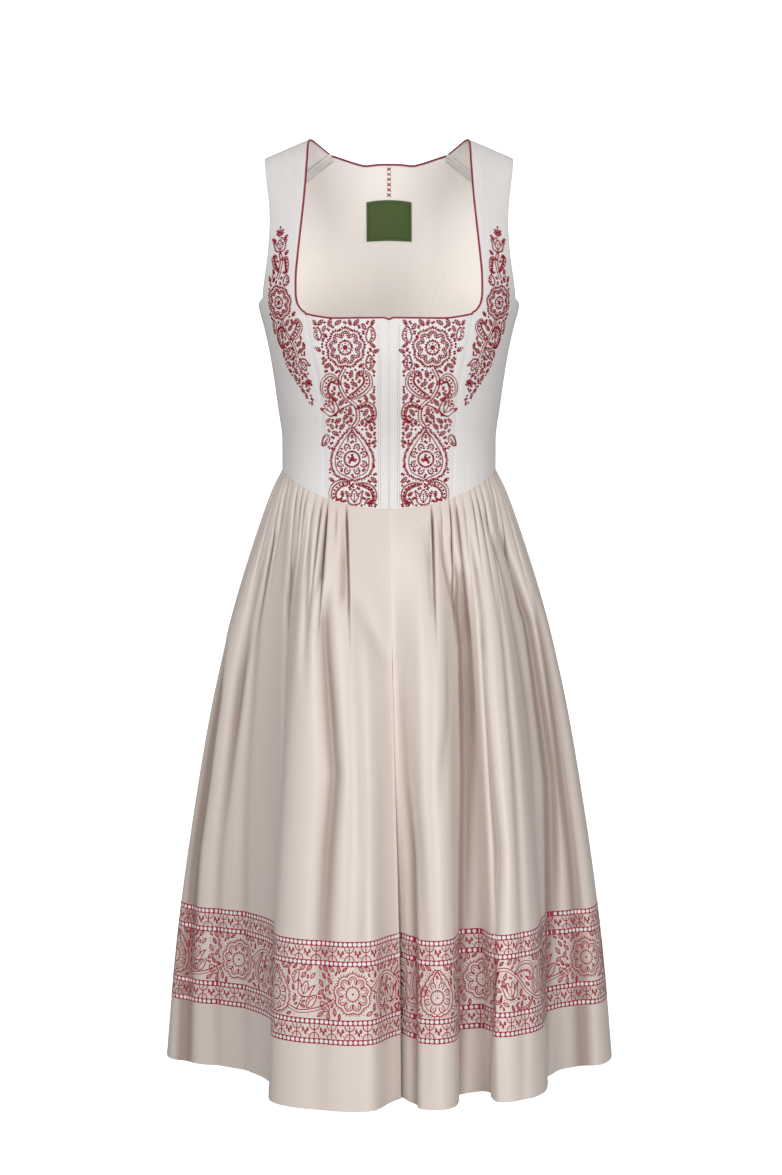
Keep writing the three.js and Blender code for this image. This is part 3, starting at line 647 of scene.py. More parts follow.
def rosette(radius, petals=9, seeds=7):
    """A round blossom: a seeded eye, a feathered ring, looped petals and a feathered scalloped edge."""
    motif = Pattern()
    motif.knot(0, 0, 0.16 * radius + 1)
    for k in range(seeds):
        turn = 2 * math.pi * k / seeds
        motif.knot(0.2 * radius * math.sin(turn), -0.2 * radius * math.cos(turn), 1.5)
    ring = arc(0.33 * radius, 0, 360)
    motif.line(ring)
    motif.ticks(ring, 0.09 * radius, 2.9, 0, FINE, 0)
    loop = Pattern()
    half = math.pi / petals
    reach, wide = 0.83 * radius, 0.62 * radius * math.sin(half)
    loop.curve((-wide * 0.62, -0.46 * radius), (-wide, -0.66 * radius), (0, -reach), (wide, -0.66 * radius),
               (wide * 0.62, -0.46 * radius))
    loop.curve((-wide * 0.42, -0.54 * radius), (-wide * 0.4, -0.68 * radius), (0, -0.74 * radius),
               (wide * 0.4, -0.68 * radius), (wide * 0.42, -0.54 * radius), breadth=FINE)
    for k in range(petals):
        motif.place(loop, 0, 0, 360 * k / petals)
    angle = np.linspace(0, 2 * math.pi, petals * 12 + 1)
    edge = radius * (0.86 + 0.12 * np.abs(np.cos(angle * petals / 2)))
    outline = np.column_stack([edge * np.sin(angle), -edge * np.cos(angle)])
    motif.line(outline)
    motif.ticks(outline, 0.11 * radius, 3.0, 0.25, FINE, 0)
    return motif


def sprig(length, pairs=2):
    """A stem with small seed leaves in pairs and a bud on top."""
    motif = Pattern()
    motif.line(spaced(np.array([(0, 0), (0, -length)], float), 1.2), FINE)
    for k in range(pairs):
        y = -length * (0.25 + 0.6 * k / pairs)
        for side in (-1, 1):
            motif.place(seed(5.6, 2.6), side * 0.6, y, side * 48)
    motif.knot(0, -length - 1.8, 2.3)
    return motif


def double_stem(motif, *points):
    line = spline(points)
    motif.line(beside(line, STEM_GAP / 2))
    motif.line(beside(line, -STEM_GAP / 2), FINE)


# The band above the hem, in millimetres: where it begins, and its rows from the top.
BAND_TOP = 184.2
BEAD_ROW = 6.6
LATTICE_ROW = 14.5
FLOWER_ROW = 57.0


def pomegranate(length, width):
    """A large pod with a feathered scalloped edge, petals round a beaded heart, standing on the origin."""
    motif = Pattern()
    outline = []
    for side in (-1, 1):
        points = [(0, 0), (side * width * 0.4, -length * 0.12), (side * width * 0.5, -length * 0.42),
                  (side * width * 0.3, -length * 0.74), (0, -length)]
        outline.append(spline(points))
    for side, edge in zip((-1, 1), outline):
        share = line_length(edge) / line_length(edge)[-1]
        lobes = int(line_length(edge)[-1] / 7.5)
        wavy = beside(edge, -side * 1.7 * np.abs(np.sin(math.pi * lobes * share)))
        motif.line(wavy)
        motif.ticks(wavy, -side * 2.4, 2.9, 0.3, FINE, 1)
        inner = beside(edge, side * 3.7 * np.sin(math.pi * share) ** 0.4)
        motif.line(inner, FINE)
    heart = 0.2 * width
    middle = -length * 0.4
    motif.line(arc(heart, 0, 360, 0, middle))
    motif.ticks(arc(heart, 0, 360, 0, middle), -1.9, 2.8, 0, FINE, 0)
    motif.knot(0, middle, 4.2)
    loop = Pattern()
    loop.curve((-2.2, -heart - 2), (-3.1, -heart - 6.4), (0, -heart - 9.4), (3.1, -heart - 6.4),
               (2.2, -heart - 2))
    loop.curve((0, -heart - 3.6), (0, -heart - 6.6), breadth=FINE)
    for k in range(8):
        motif.place(loop, 0, middle, k * 45 + 22.5)
    crown = Pattern()
    crown.curve((-4.5, 0), (-4.2, -6), (0, -12.5), (4.2, -6), (4.5, 0))
    crown.beads(np.array([(0, -1.0), (0, -10.0)]), 2.8, 1.6, 0)
    motif.place(crown, 0, -length * 0.72)
    return motif


# Fields of the embroidery: down, and cloth distance from and to.
FRONT_FIELD = ((230, 15, 90), (255, 15, 79), (317, 14.5, 75), (385, 13.5, 71), (436, 13, 68), (442, 13, 67))
STRAP_FIELD = (
    (116, 124, 129), (151, 116, 139), (173, 115.5, 144), (193, 117, 155), (212, 114.5, 157), (230, 103, 154.5),
    (249, 101.5, 146), (278, 94, 133), (297, 93, 116), (315, 88, 99), (322, 88, 92),
)


def fill(page, field):
    """Small leaves and knots set wherever a page leaves room within a field."""
    down, low, high = np.array(field, float).T
    chance = random.Random(4)
    taken = [line for line, _ in page.lines] + [np.array([(x, y)]) for x, y, _ in page.knots]
    taken = np.concatenate([spaced(line, 1.2) if len(line) > 1 else line for line in taken])
    for room, length in ((5.2, 9.0), (4.2, 7.0), (3.2, 4.6), (2.6, 0.0)):
        for y in np.arange(down[0], down[-1], 1.6):
            edge = room * 0.75
            for x in np.arange(np.interp(y, down, low) + edge, np.interp(y, down, high) - edge, 1.6):
                if np.min(np.hypot(taken[:, 0] - x, taken[:, 1] - y)) < room:
                    continue
                mark = Pattern()
                if length:
                    mark.place(seed(length, length * 0.46, 2 if length > 6 else 1), 0, length / 2)
                    page.place(mark, x, y, chance.uniform(-70, 70))
                else:
                    page.knot(x, y, 2.3)
                taken = np.concatenate([taken, [(x, y)], page.lines[-1][0] if length else [(x, y)]])
                if length:
                    taken = np.concatenate([taken] + [line for line, _ in page.lines[-3:]])
    return page


def scatter(page, motif, *places):
    """Puts motifs of one kind on a page; each place is the motif's sizes, then its x, y and turn."""
    for *sizes, x, y, turn in places:
        page.place(motif(*sizes), x, y, turn)


def curl(page, width, *points):
    page.place(crosier(points, width))


def front_page():
    """The embroidery of one front: a blossom, curling leaves on a double stem, and a pod."""
    page = Pattern()
    page.place(rosette(22.5, 9), 49, 258)
    page.place(toothed_leaf(19, 9, 3), 22, 253, -14)
    page.place(toothed_leaf(15, 8, 2), 80, 250, 16, mirror=True)
    scatter(page, seed, (9, 3.8, 2, 78, 262, 60), (7, 3.4, 75, 240, -20), (8, 3.6, 26, 238, 30),
                        (8, 3.6, 2, 18, 264, -60))
    page.place(toothed_leaf(17, 8, 2), 22, 283, -8)
    double_stem(page, (50, 281), (56, 296), (50, 312), (37, 324), (35, 338), (41, 348))
    curl(page, 7.5, (54, 299), (66, 290), (75, 297), (75, 309), (67, 314), (61, 308))
    curl(page, 7.5, (47, 315), (33, 311), (22, 300), (24, 288), (34, 286), (37, 294))
    curl(page, -6.5, (38, 327), (26, 319), (16, 324), (15, 337), (23, 343), (28, 337))
    page.place(tulip(17, 19, 4), 61, 333, 38)
    page.curve((42, 322), (52, 326), (61, 333))
    scatter(page, seed, (7, 3, 52, 326, 150), (7, 3.2, 58, 316, 95))
    page.place(toothed_leaf(15, 7, 2), 70, 356, 160, mirror=True)
    page.place(pomegranate(60, 46), 42, 408)
    scatter(page, seed, (8, 3.4, 2, 19, 352, 20), (7, 3.2, 64, 350, 30))
    for x, down, size in ((31, 246, 2.4), (72, 272, 2.6), (16, 274, 2.5), (17, 308, 2.5), (46, 294, 2.3),
                          (72, 321, 2.6), (51, 341, 2.4), (22, 366, 2.5), (65, 372, 2.5), (17, 392, 2.5),
                          (68, 396, 2.4), (43, 414, 2.4), (86, 236, 2.4), (60, 286, 2.2), (30, 350, 2.2)):
        page.knot(x, down, size)
    curl(page, 6.5, (44, 412), (54, 410), (64, 416), (66, 427), (59, 433), (53, 428))
    curl(page, -6.5, (38, 412), (28, 411), (17, 416), (14, 427), (19, 435), (27, 433))
    page.place(tulip(17, 18, 3), 39, 436, 2)
    page.place(toothed_leaf(17, 7, 2), 26, 445, -18)
    page.place(toothed_leaf(17, 7, 2), 55, 446, 12, mirror=True)
    page.place(seed(8, 3.4), 66, 442, 20)
    page.knot(17, 441)
    page.knot(47, 426)
    return fill(page, FRONT_FIELD)


def strap_page():
    """The embroidery that runs from the strap round the armhole side of the front."""
    page = Pattern()
    page.place(sprig(12, 2), 129, 128, -2)
    scatter(page, seed, (8, 3.2, 2, 124, 132, -42), (8, 3.2, 2, 134, 133, 44))
    page.place(tulip(15, 17, 3), 128.5, 146, 2)
    double_stem(page, (128.5, 148), (127, 158), (130, 170), (134, 180))
    curl(page, -5.5, (128, 156), (120, 153), (117.5, 163), (120, 173), (126, 172))
    curl(page, -5.5, (131, 172), (139, 164), (141, 154), (136, 149), (133, 154))
    page.place(toothed_leaf(14, 7, 2), 124, 188, -28)
    page.place(seed(7.5, 3.2, 2), 146, 183, 12)
    page.place(rosette(19.5, 8, 6), 134.5, 207, 10)
    for spot in ((118, 183), (150, 191), (142, 176, 2.2)):
        page.knot(*spot)
    page.place(seed(7.5, 3.2, 2), 117, 226, 200)
    page.place(toothed_leaf(17, 8, -2), 148, 226, 176)
    double_stem(page, (131, 227), (127, 240), (117, 254), (110, 270))
    curl(page, -6.5, (127, 240), (137, 239), (141, 248), (136, 256), (130, 252))
    curl(page, 6, (121, 249), (110, 244), (104, 234), (109, 227), (114, 232))
    page.place(toothed_leaf(16, 8, 2), 118, 258, 132)
    page.place(tulip(14, 15, 3), 106, 272, 215)
    scatter(page, seed, (8, 3.2, 2, 101, 252, 190), (8, 3.2, 2, 116, 274, 150))
    page.place(sprig(11, 2), 97, 292, 196)
    scatter(page, seed, (7, 3, 108, 292, 170), (7, 2.8, 99, 309, 195))
    for spot in ((100, 266), (124, 268, 2.3), (105, 302, 2.2), (92, 312, 2.2), (94, 320, 2.0)):
        page.knot(*spot)
    return fill(page, STRAP_FIELD)


BORDER_REPEAT = 252.7


def border_page():
    """One repeat of the border's flowers: a waving double stem, a blossom, tulips, a pod and curling leaves.

    Across is cloth distance at the hem, and down is counted from the band's top edge.
    """
    page = Pattern()
    page.place(rosette(23, 9), 46, 29)
    double_stem(page, (69, 26), (84, 14), (102, 11), (120, 24), (134, 40), (150, 48), (166, 46), (180, 40))
    double_stem(page, (219, 46), (232, 50), (246, 49), (BORDER_REPEAT + 10, 44), (BORDER_REPEAT + 24, 36))
    curl(page, -8, (92, 12), (82, 22), (76, 36), (82, 48), (93, 47), (95, 38))
    curl(page, 7.5, (112, 17), (122, 9), (136, 8), (143, 17), (137, 25), (130, 21))
    page.place(tulip(19, 21, 4), 108, 44, -8)
    page.curve((118, 24), (112, 34), (108, 44))
    scatter(page, toothed_leaf, (19, 9, 2, 146, 43, -14), (14, 7, 2, 178, 34, 24))
    page.place(seed(9, 3.6, 2), 99, 30, -24)
    curl(page, 7.5, (166, 45), (155, 34), (155, 17), (166, 9), (175, 15), (171, 22))
    curl(page, -4, (140, 44), (132, 52), (124, 55), (117, 54), (115, 50), (119, 49))
    page.place(seed(9, 3.6, 2), 172, 55, 84)
    page.place(pomegranate(50, 40), 199, 54)
    page.place(tulip(17, 19, 3), 238, 34, 16)
    page.curve((230, 49), (234, 42), (238, 34))
    page.place(toothed_leaf(18, 8, 2), 243, 46, 32)
    page.place(seed(9, 3.6, 2), 219, 22, -12)
    page.place(toothed_leaf(16, 8, 2), 226, 20, 14)
    scatter(page, seed, (8, 3.4, 247, 14, 40), (8, 3.4, 2, 12, 14, -28))
    page.place(toothed_leaf(15, 7, 2), 18, 48, -60)
    page.place(seed(8, 3.4, 2), 72, 52, 110)
    for x, down in ((16, 32), (21, 10), (72, 12), (74, 4), (101, 4), (92, 54), (128, 33), (146, 28),
                    (150, 10), (148, 54), (166, 4), (189, 8), (214, 8), (220, 34), (243, 26), (252, 34),
                    (206, 50), (112, 51)):
        page.knot(x, down, 2.2)
    return fill(page, ((2.5, 3, 250), (54.5, 3, 250)))


def band_page():
    """The whole band round the hem: its flowers and lattice, its rails, and the rails' white beads."""
    lines, rails, dots = Pattern(), Pattern(), Pattern()
    flowers, cell = border_page(), lattice_page()
    rows = (("beads", BEAD_ROW), ("cells", LATTICE_ROW), ("beads", BEAD_ROW), ("flowers", FLOWER_ROW),
            ("beads", BEAD_ROW), ("cells", LATTICE_ROW), ("beads", BEAD_ROW))
    for k in range(-1, 9):
        left = k * BORDER_REPEAT - BORDER_REPEAT * 0.5
        top = 0.0
        for kind, tall in rows:
            middle = top + tall / 2
            if kind == "beads":
                rails.line(spaced(np.array([(left, middle), (left + BORDER_REPEAT, middle)]), 2.4), 6.3)
                for j in range(44):
                    dots.knot(left + (j + 0.5) * BORDER_REPEAT / 44, middle, 4.4)
            elif kind == "cells":
                for j in range(12):
                    lines.place(cell, left + j * BORDER_REPEAT / 12, top)
            else:
                lines.place(flowers, left, top)
            top += tall
    return lines, rails, dots


def lattice_page():
    """One cell of the narrow bands: a crossing bar with quarter rings and a budding twig between."""
    page = Pattern()
    cell, tall = BORDER_REPEAT / 12, 14.5
    page.line(spaced(np.array([(0, 0.4), (0, tall - 0.4)], float), 1.5))
    for y, turn in ((0.2, 90), (tall - 0.2, 0)):
        page.line(arc(5.6, turn, turn + 90, 0, y))
        page.line(arc(5.6, turn + 90 if y < 1 else -90, turn + 180 if y < 1 else 0, 0, y))
    for x in (-2.3, 2.3):
        page.knot(x, 2.6, 1.6)
        page.knot(x, tall - 2.6, 1.6)
    page.curve((cell * 0.3, tall * 0.6), (cell * 0.42, tall * 0.44), (cell * 0.56, tall * 0.56),
               (cell * 0.7, tall * 0.4))
    for x, y, turn in ((0.38, 0.5, -8), (0.48, 0.5, 165), (0.6, 0.52, 10)):
        page.place(seed(4.2, 1.8), cell * x, tall * y, turn)
    page.knot(cell * 0.66, tall * 0.76, 2.4)
    return page


# ---- Meshes ----
def collection_object(name, mesh):
    piece = bpy.data.objects.new(name, mesh)
    bpy.context.scene.collection.objects.link(piece)
    return piece


def mesh_from(name, vertices, faces, uv=None, attributes=None, edges=()):
    """A mesh from arrays or lists; uv and attributes hold one value or vector a vertex."""
    mesh = bpy.data.meshes.new(name)
    faces = faces if isinstance(faces, list) else faces.tolist()
    mesh.from_pydata(np.asarray(vertices).tolist(), list(edges), faces)
    if uv is not None:
        corner = np.empty(len(mesh.loops), np.int32)
        mesh.loops.foreach_get("vertex_index", corner)
        layer = mesh.uv_layers.new(name="cloth")
        layer.uv.foreach_set("vector", np.asarray(uv, np.float32)[corner].ravel())
    for key, values in (attributes or {}).items():
        kind, field = ("FLOAT", "value") if np.ndim(values) == 1 else ("FLOAT_VECTOR", "vector")
        layer = mesh.attributes.new(key, kind, "POINT")
        layer.data.foreach_set(field, np.asarray(values, np.float32).ravel())
    mesh.update()
    return mesh


def raised(points, relief):
    """A grid pushed out along its normals by millimetres."""
    return points + grid_normals(points) * (relief * MM)[..., None]


def cloth_lengths(points, axis):
    """Distance over a grid's cloth along one axis, in metres, averaged across the other."""
    steps = np.linalg.norm(np.diff(points, axis=axis), axis=-1).mean(axis=1 - axis)
    return np.concatenate([[0], np.cumsum(steps)])


def shell(name, points, wall, materials, lift=0.0, attributes=None):
    """A closed cloth wall on a grid of points: its outer face, its inner face and the edge between them."""
    rows, columns = points.shape[:2]
    normals = grid_normals(points)
    outside = points + normals * lift * MM
    inside = points + normals * (lift - wall) * MM
    vertices = np.concatenate([outside.reshape(-1, 3), inside.reshape(-1, 3)])
    count = rows * columns
    index = np.arange(count).reshape(rows, columns)
    quads = np.stack([index[:-1, :-1], index[1:, :-1], index[1:, 1:], index[:-1, 1:]], -1).reshape(-1, 4)
    corner = vertices[quads]
    facing = np.cross(corner[:, 1] - corner[:, 0], corner[:, 3] - corner[:, 0])
    if np.sum(facing * normals.reshape(-1, 3)[quads[:, 0]]) < 0:
        quads = quads[:, ::-1]
    ring = np.concatenate([index[0, :-1], index[:-1, -1], index[-1, :0:-1], index[:0:-1, 0]])
    following = np.roll(ring, -1)
    rim = np.stack([ring, following, following + count, ring + count], -1)
    edges = {(a, b) for a, b in zip(quads.ravel(), np.roll(quads, -1, axis=1).ravel())}
    if (rim[0, 0], rim[0, 1]) in edges:
        rim = rim[:, ::-1]
    faces = np.concatenate([quads, quads[:, ::-1] + count, rim])
    across, along = cloth_lengths(points, 1), cloth_lengths(points, 0)
    uv = np.stack(np.meshgrid(across, along), -1).reshape(-1, 2)
    doubled = {key: np.concatenate([v.ravel(), v.ravel()]) for key, v in (attributes or {}).items()}
    mesh = mesh_from(name, vertices, faces, np.concatenate([uv, uv]), doubled)
    for material in materials:
        mesh.materials.append(material)
    inner = np.full(len(quads), len(materials) - 1)
    slots = np.concatenate([np.zeros(len(quads)), inner, np.zeros(len(rim))])
    mesh.polygons.foreach_set("material_index", slots.astype(np.int32))
    mesh.shade_smooth()
    mesh.set_sharp_from_angle(angle=math.radians(50))
    piece = collection_object(name, mesh)
    widest = np.linalg.norm(np.diff(points, axis=1), axis=-1).sum(1).max()
    longest = np.linalg.norm(np.diff(points, axis=0), axis=-1).sum(0).max()
    diagonals = np.cross(outside[1:, 1:] - outside[:-1, :-1], outside[1:, :-1] - outside[:-1, 1:])
    piece["cut"] = (widest, longest, np.linalg.norm(diagonals, axis=-1).sum() / 2)
    return piece


def mirrored(points):
    return points * np.array([-1.0, 1.0, 1.0])


def settle(piece, nodes):
    """Hands a finished piece to the frame: it rides on the root body and stands for its nodes."""
    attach(piece, "root")
    if nodes:
        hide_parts(*nodes)
    return piece


class Surface:
    """A grid of cloth read at any place, by one measure down its rows and one along its columns."""

    def __init__(self, points, rows, columns):
        self.points = points
        self.normals = grid_normals(points)
        self.rows = rows
        self.columns = columns

    def at(self, row, column, lift=0.0):
        """Points lifted by millimetres, and their normals."""
        r = np.interp(row, self.rows, np.arange(len(self.rows)))
        return self.between(r, np.interp(column, self.columns, np.arange(len(self.columns))), lift)

    def between(self, r, c, lift):
        """The same for places counted in rows and columns of the grid."""
        i = np.minimum(r.astype(int), len(self.rows) - 2)
        j = np.minimum(c.astype(int), len(self.columns) - 2)
        s, t = (r - i)[..., None], (c - j)[..., None]

        def blend(grid):
            upper = lerp(grid[i, j], grid[i, j + 1], t)
            return lerp(upper, lerp(grid[i + 1, j], grid[i + 1, j + 1], t), s)

        normals = unit(blend(self.normals))
        return blend(self.points) + normals * lift * MM, normals


class FrontCloth(Surface):
    """The bodice front, read by cloth distance from the closing and by drop from the shoulder."""

    def __init__(self):
        down, turn = np.linspace(104, 452, 175), np.linspace(0, 88, 177)
        super().__init__(body_point(-down[:, None], turn[None, :]), down, turn)
        steps = np.linalg.norm(np.diff(self.points, axis=1), axis=-1) / MM
        self.across = np.concatenate([np.zeros((len(down), 1)), np.cumsum(steps, axis=1)], axis=1)

    def at(self, line, lift=0.0):
        r = np.interp(line[:, 1], self.rows, np.arange(len(self.rows)))
        i = np.minimum(r.astype(int), len(self.rows) - 2)
        edges = lerp(self.across[i], self.across[i + 1], (r - i)[:, None])
        count = np.arange(len(self.columns))
        c = np.array([np.interp(across, edge, count) for across, edge in zip(line[:, 0], edges)])
        return self.between(r, c, lift)


# ---- Shaders ----
def arithmetic(operation, reflected=False):
    """An operator of Shade; `reflected` puts the other value first."""

    def apply(self, other):
        first, second = (other, self) if reflected else (self, other)
        return self.look.math(operation, first, second)

    return apply


class Shade:
    """A value in a node tree, with arithmetic."""

    def __init__(self, look, socket):
        self.look = look
        self.socket = socket

    __add__, __radd__ = arithmetic("ADD"), arithmetic("ADD", True)
    __sub__, __rsub__ = arithmetic("SUBTRACT"), arithmetic("SUBTRACT", True)
    __mul__ = arithmetic("MULTIPLY")


class Wiring:
    """A node tree under construction."""

    tree = None

    def _set(self, socket, value):
        if isinstance(value, Shade):
            self.tree.links.new(value.socket, socket)
        elif socket.type == "RGBA":
            socket.default_value = (*value, 1.0)
        else:
            socket.default_value = value

    def node(self, kind, settings=None, output=0, **sockets):
        node = self.tree.nodes.new(kind)
        for key, value in (settings or {}).items():
            setattr(node, key, value)
        for key, value in sockets.items():
            place = int(key[1:]) if key[0] == "i" and key[1:].isdigit() else key.replace("_", " ")
            self._set(node.inputs[place], value)
        return Shade(self, node.outputs[output])

    def math(self, operation, a, b=0.0, clamp=False):
        return self.node("ShaderNodeMath", {"operation": operation, "use_clamp": clamp}, i0=a, i1=b)

    def vector(self, operation, a, b, output=0):
        return self.node("ShaderNodeVectorMath", {"operation": operation}, output, i0=a, i1=b)


class Look(Wiring):
    """A material on one Principled shader, and the nodes that feed it."""

    def __init__(self, name, uniform):
        self.material = bpy.data.materials.new(name)
        self.material.use_nodes = True
        self.tree = self.material.node_tree
        self.tree.nodes.clear()
        self.shader = self.tree.nodes.new("ShaderNodeBsdfPrincipled")
        output = self.tree.nodes.new("ShaderNodeOutputMaterial")
        self.tree.links.new(self.shader.outputs["BSDF"], output.inputs["Surface"])
        for socket, value in uniform.items():
            self.feed(socket, value)

    def feed(self, socket, value):
        self._set(self.shader.inputs[socket], value)

    def mix(self, factor, a, b):
        return self.node("ShaderNodeMix", {"data_type": "RGBA"}, 2, i0=factor, i6=a, i7=b)

    def uv(self):
        return self.node("ShaderNodeUVMap", {"uv_map": "cloth"})

    def attribute(self, name):
        return self.node("ShaderNodeAttribute", {"attribute_name": name}, "Fac")

    def stretched(self, coordinates, across, along):
        return self.vector("MULTIPLY", coordinates, (across, along, 1.0))

    def noise(self, vector, detail=2.0, roughness=0.5):
        return self.node("ShaderNodeTexNoise", Vector=vector, Scale=1.0, Detail=detail, Roughness=roughness)

    def threads(self, coordinates, pitch, direction):
        """A ridge for each thread, `pitch` apart in millimetres."""
        settings = {"wave_type": "BANDS", "bands_direction": direction, "wave_profile": "SIN"}
        scale = 2 * math.pi / (20 * pitch * MM)
        return self.node("ShaderNodeTexWave", settings, "Fac", Vector=coordinates, Scale=scale)

    def bump(self, height, distance, strength=1.0):
        bump = self.node("ShaderNodeBump", Height=height, Distance=distance * MM, Strength=strength)
        self.feed("Normal", bump)

    def ramp(self, value, low, high):
        """0 below `low`, 1 above `high`."""
        return self.node("ShaderNodeMapRange", {"interpolation_type": "SMOOTHSTEP"},
                         Value=value, From_Min=low, From_Max=high)


def darker(colour, share):
    return tuple(c * share for c in colour)


def linen_look(settings):
    look = Look("linen", {"Roughness": 0.86, "Sheen Weight": 0.12, "Sheen Roughness": 0.5,
                          "Specular IOR Level": 0.25})
    uv = look.uv()
    weft = look.noise(look.stretched(uv, 22.0, 900.0), 3.0, 0.6)
    warp = look.noise(look.stretched(uv, 700.0, 14.0), 3.0, 0.6)
    cloudy = look.noise(look.stretched(uv, 22.0, 22.0), 2.0)
    slub = look.ramp(weft, 0.42, 0.75) * 0.6 + look.ramp(warp, 0.4, 0.75) * 0.7 + cloudy * 0.35
    look.feed("Base Color", look.mix(slub * settings.slub, settings.colour, settings.slub_colour))
    weave = look.threads(uv, settings.thread, "X") + look.threads(uv, settings.thread, "Y")
    look.bump(weave * 0.35 + slub, 0.16)
    return look.material


def lining_look(settings):
    look = Look("lining", {"Roughness": 0.6, "Sheen Weight": 0.08, "Specular IOR Level": 0.3})
    uv = look.uv()
    tone = look.noise(look.stretched(uv, 30.0, 8.0), 3.0)
    look.feed("Base Color", look.mix(tone, settings.lining, darker(settings.lining, 0.93)))
    look.bump(look.threads(uv, 0.5, "DIAGONAL") + look.noise(look.stretched(uv, 60.0, 20.0)) * 2.0, 0.05)
    return look.material


def satin_look(settings):
    look = Look("satin", {"Roughness": settings.roughness, "Sheen Weight": 0.06, "Sheen Roughness": 0.4,
                          "Specular IOR Level": 0.5})
    uv = look.uv()
    hollow = look.attribute("hollow")
    silk = look.noise(look.stretched(uv, 240.0, 3.0), 3.0, 0.6)
    cloud = look.noise(look.stretched(uv, 9.0, 3.0), 2.0)
    tone = look.math("MULTIPLY_ADD", silk, 0.35, clamp=True)
    lit = look.mix(cloud * 0.6 + silk * 0.25, settings.colour, settings.shade)
    # Painted shade: deep in the gathers and creases the satin turns a brownish shade that stands in for their
    # shadow.
    look.feed("Base Color", look.mix(look.ramp(hollow, 0.08, 1.0), lit, settings.hollow))
    look.feed("Roughness", settings.roughness + (tone - 0.3) * 0.12)
    look.bump(silk + cloud * 6.0, 0.05)
    return look.material


def thread_look(name, colour, roughness=0.45):
    """Twisted embroidery thread."""
    look = Look(name, {"Roughness": roughness, "Specular IOR Level": 0.2})
    place = look.node("ShaderNodeTexCoord", output="Object")
    fibre = look.noise(look.stretched(place, 900.0, 900.0), 2.0)
    look.feed("Base Color", look.mix(fibre, darker(colour, 0.62), colour))
    look.bump(fibre, 0.08)
    return look.material


def piping_look(colour):
    look = Look("piping", {"Roughness": 0.5, "Sheen Weight": 0.15, "Specular IOR Level": 0.35})
    uv = look.uv()
    wrap = look.threads(uv, 1.1, "DIAGONAL")
    look.feed("Base Color", look.mix(wrap * 0.35, colour, darker(colour, 0.6)))
    look.bump(wrap, 0.12)
    return look.material


def label_look(colour):
    look = Look("label", {"Roughness": 0.7, "Sheen Weight": 0.15, "Specular IOR Level": 0.3})
    uv = look.uv()
    ribs = look.threads(uv, 0.7, "Y") * 0.6 + look.threads(uv, 0.5, "X") * 0.4
    look.feed("Base Color", look.mix(ribs * 0.5, colour, darker(colour, 0.66)))
    look.bump(ribs, 0.12)
    return look.material


# ---- Settings ----
def colour_setting(name, description, default):
    return FloatVectorProperty(name=name, description=description, subtype="COLOR", size=3, min=0, max=1,
                               default=default)


def amount(name, description, default, low, high):
    return FloatProperty(name=name, description=description, default=default, min=low, max=high)


def power(name, description, default):
    return FloatProperty(name=name, description=description, default=default, min=0, unit="POWER")


class BodiceSettings(PropertyGroup):
    colour: colour_setting("Linen", "Colour of the linen", (0.77, 0.74, 0.73))
    slub_colour: colour_setting("Slub", "Colour of the thicker threads", (0.6, 0.555, 0.53))
    lining: colour_setting("Lining", "Colour of the lining", (0.96, 0.9, 0.85))
    slub: amount("Slub", "How far the thick threads show", 0.18, 0, 1)
    thread: amount("Thread", "Thread pitch in millimetres", 0.6, 0.2, 2)


class SkirtSettings(PropertyGroup):
    colour: colour_setting("Satin", "Colour of the satin", (0.69, 0.61, 0.555))
    shade: colour_setting("Shade", "Colour of its darker threads", (0.61, 0.53, 0.475))
    # Painted shade: the colour laid deep in the gathers and creases in place of their shadow.
    hollow: colour_setting("Hollow", "Colour deep inside the gathers", (0.3, 0.215, 0.175))
    roughness: amount("Roughness", "Roughness of the satin", 0.37, 0, 1)
    gather_depth: amount("Gather depth", "Depth of a gather, in millimetres", 3.5, 0, 6)


class TrimSettings(PropertyGroup):
    piping: colour_setting("Piping", "Colour of the piping", (0.3, 0.018, 0.04))
    label: colour_setting("Label", "Colour of the label", (0.075, 0.125, 0.034))


class ThreadSettings(PropertyGroup):
    crimson: colour_setting("Crimson", "Colour of the embroidery", (0.36, 0.002, 0.014))
    ink: colour_setting("Ink", "Colour of the border band", (0.42, 0.018, 0.055))
    white: colour_setting("White", "Colour of the band's beads", (0.86, 0.84, 0.82))
    pale: colour_setting("Pale", "Colour of the closing's stitching", (0.36, 0.32, 0.31))
    pitch: amount("Stitch", "Length of a stitch in millimetres", 2.2, 1, 6)
    height: amount("Height", "Height of a stitch in millimetres", 0.5, 0.1, 2)
    edging: colour_setting("Edging", "Colour of the label's stitching", (0.014, 0.034, 0.01))


class StageSettings(PropertyGroup):
    key: power("Key light", "Power of the key light", 84)
    fill: power("Fill light", "Power of the fill light", 56)
    back: power("Back light", "Power of the light behind", 26)


# ---- Bodice pieces ----
def edge_roll(u, width, depth=0.55, reach=1.6):
    """The cloth turning in at a seam on both sides of a panel `width` millimetres wide."""
    near = np.minimum(u, 1 - u) * width
    return -depth * np.exp(-near / reach)


def ridge(place, centre, width):
    """A soft line `width` wide at `centre`."""
    return np.exp(-(((place - centre) / width) ** 2))


def panel_parts(grid, rows, columns):
    row = np.linspace(0, rows[0], rows[1])[::-1]
    u = 0.5 - 0.5 * np.cos(math.pi * np.linspace(0, 1, columns))
    return grid(row, u), row, u


def as_drawn(points):
    return points


SIDES = (("left", as_drawn), ("right", mirrored))
# Name, grid, its last row and number of rows, number of columns, and width for the turned edges.
BODICE_PANELS = (
    ("front_center", front_center_grid, (LOW_ROWS, 110), 48, 76),
    ("front_side", front_side_grid, (LOW_ROWS + len(NECK_EDGE), 190), 40, 45),
    ("side", side_grid, (LOW_ROWS, 80), 36, 70),
    ("back_side", back_side_grid, (len(back_armhole) - 1, 110), 40, 70),
)
BACK_WIDTH = 110.0
LINING_ROLL = (-0.9, 0.7)     # the lining's seams stand up instead: depth and reach


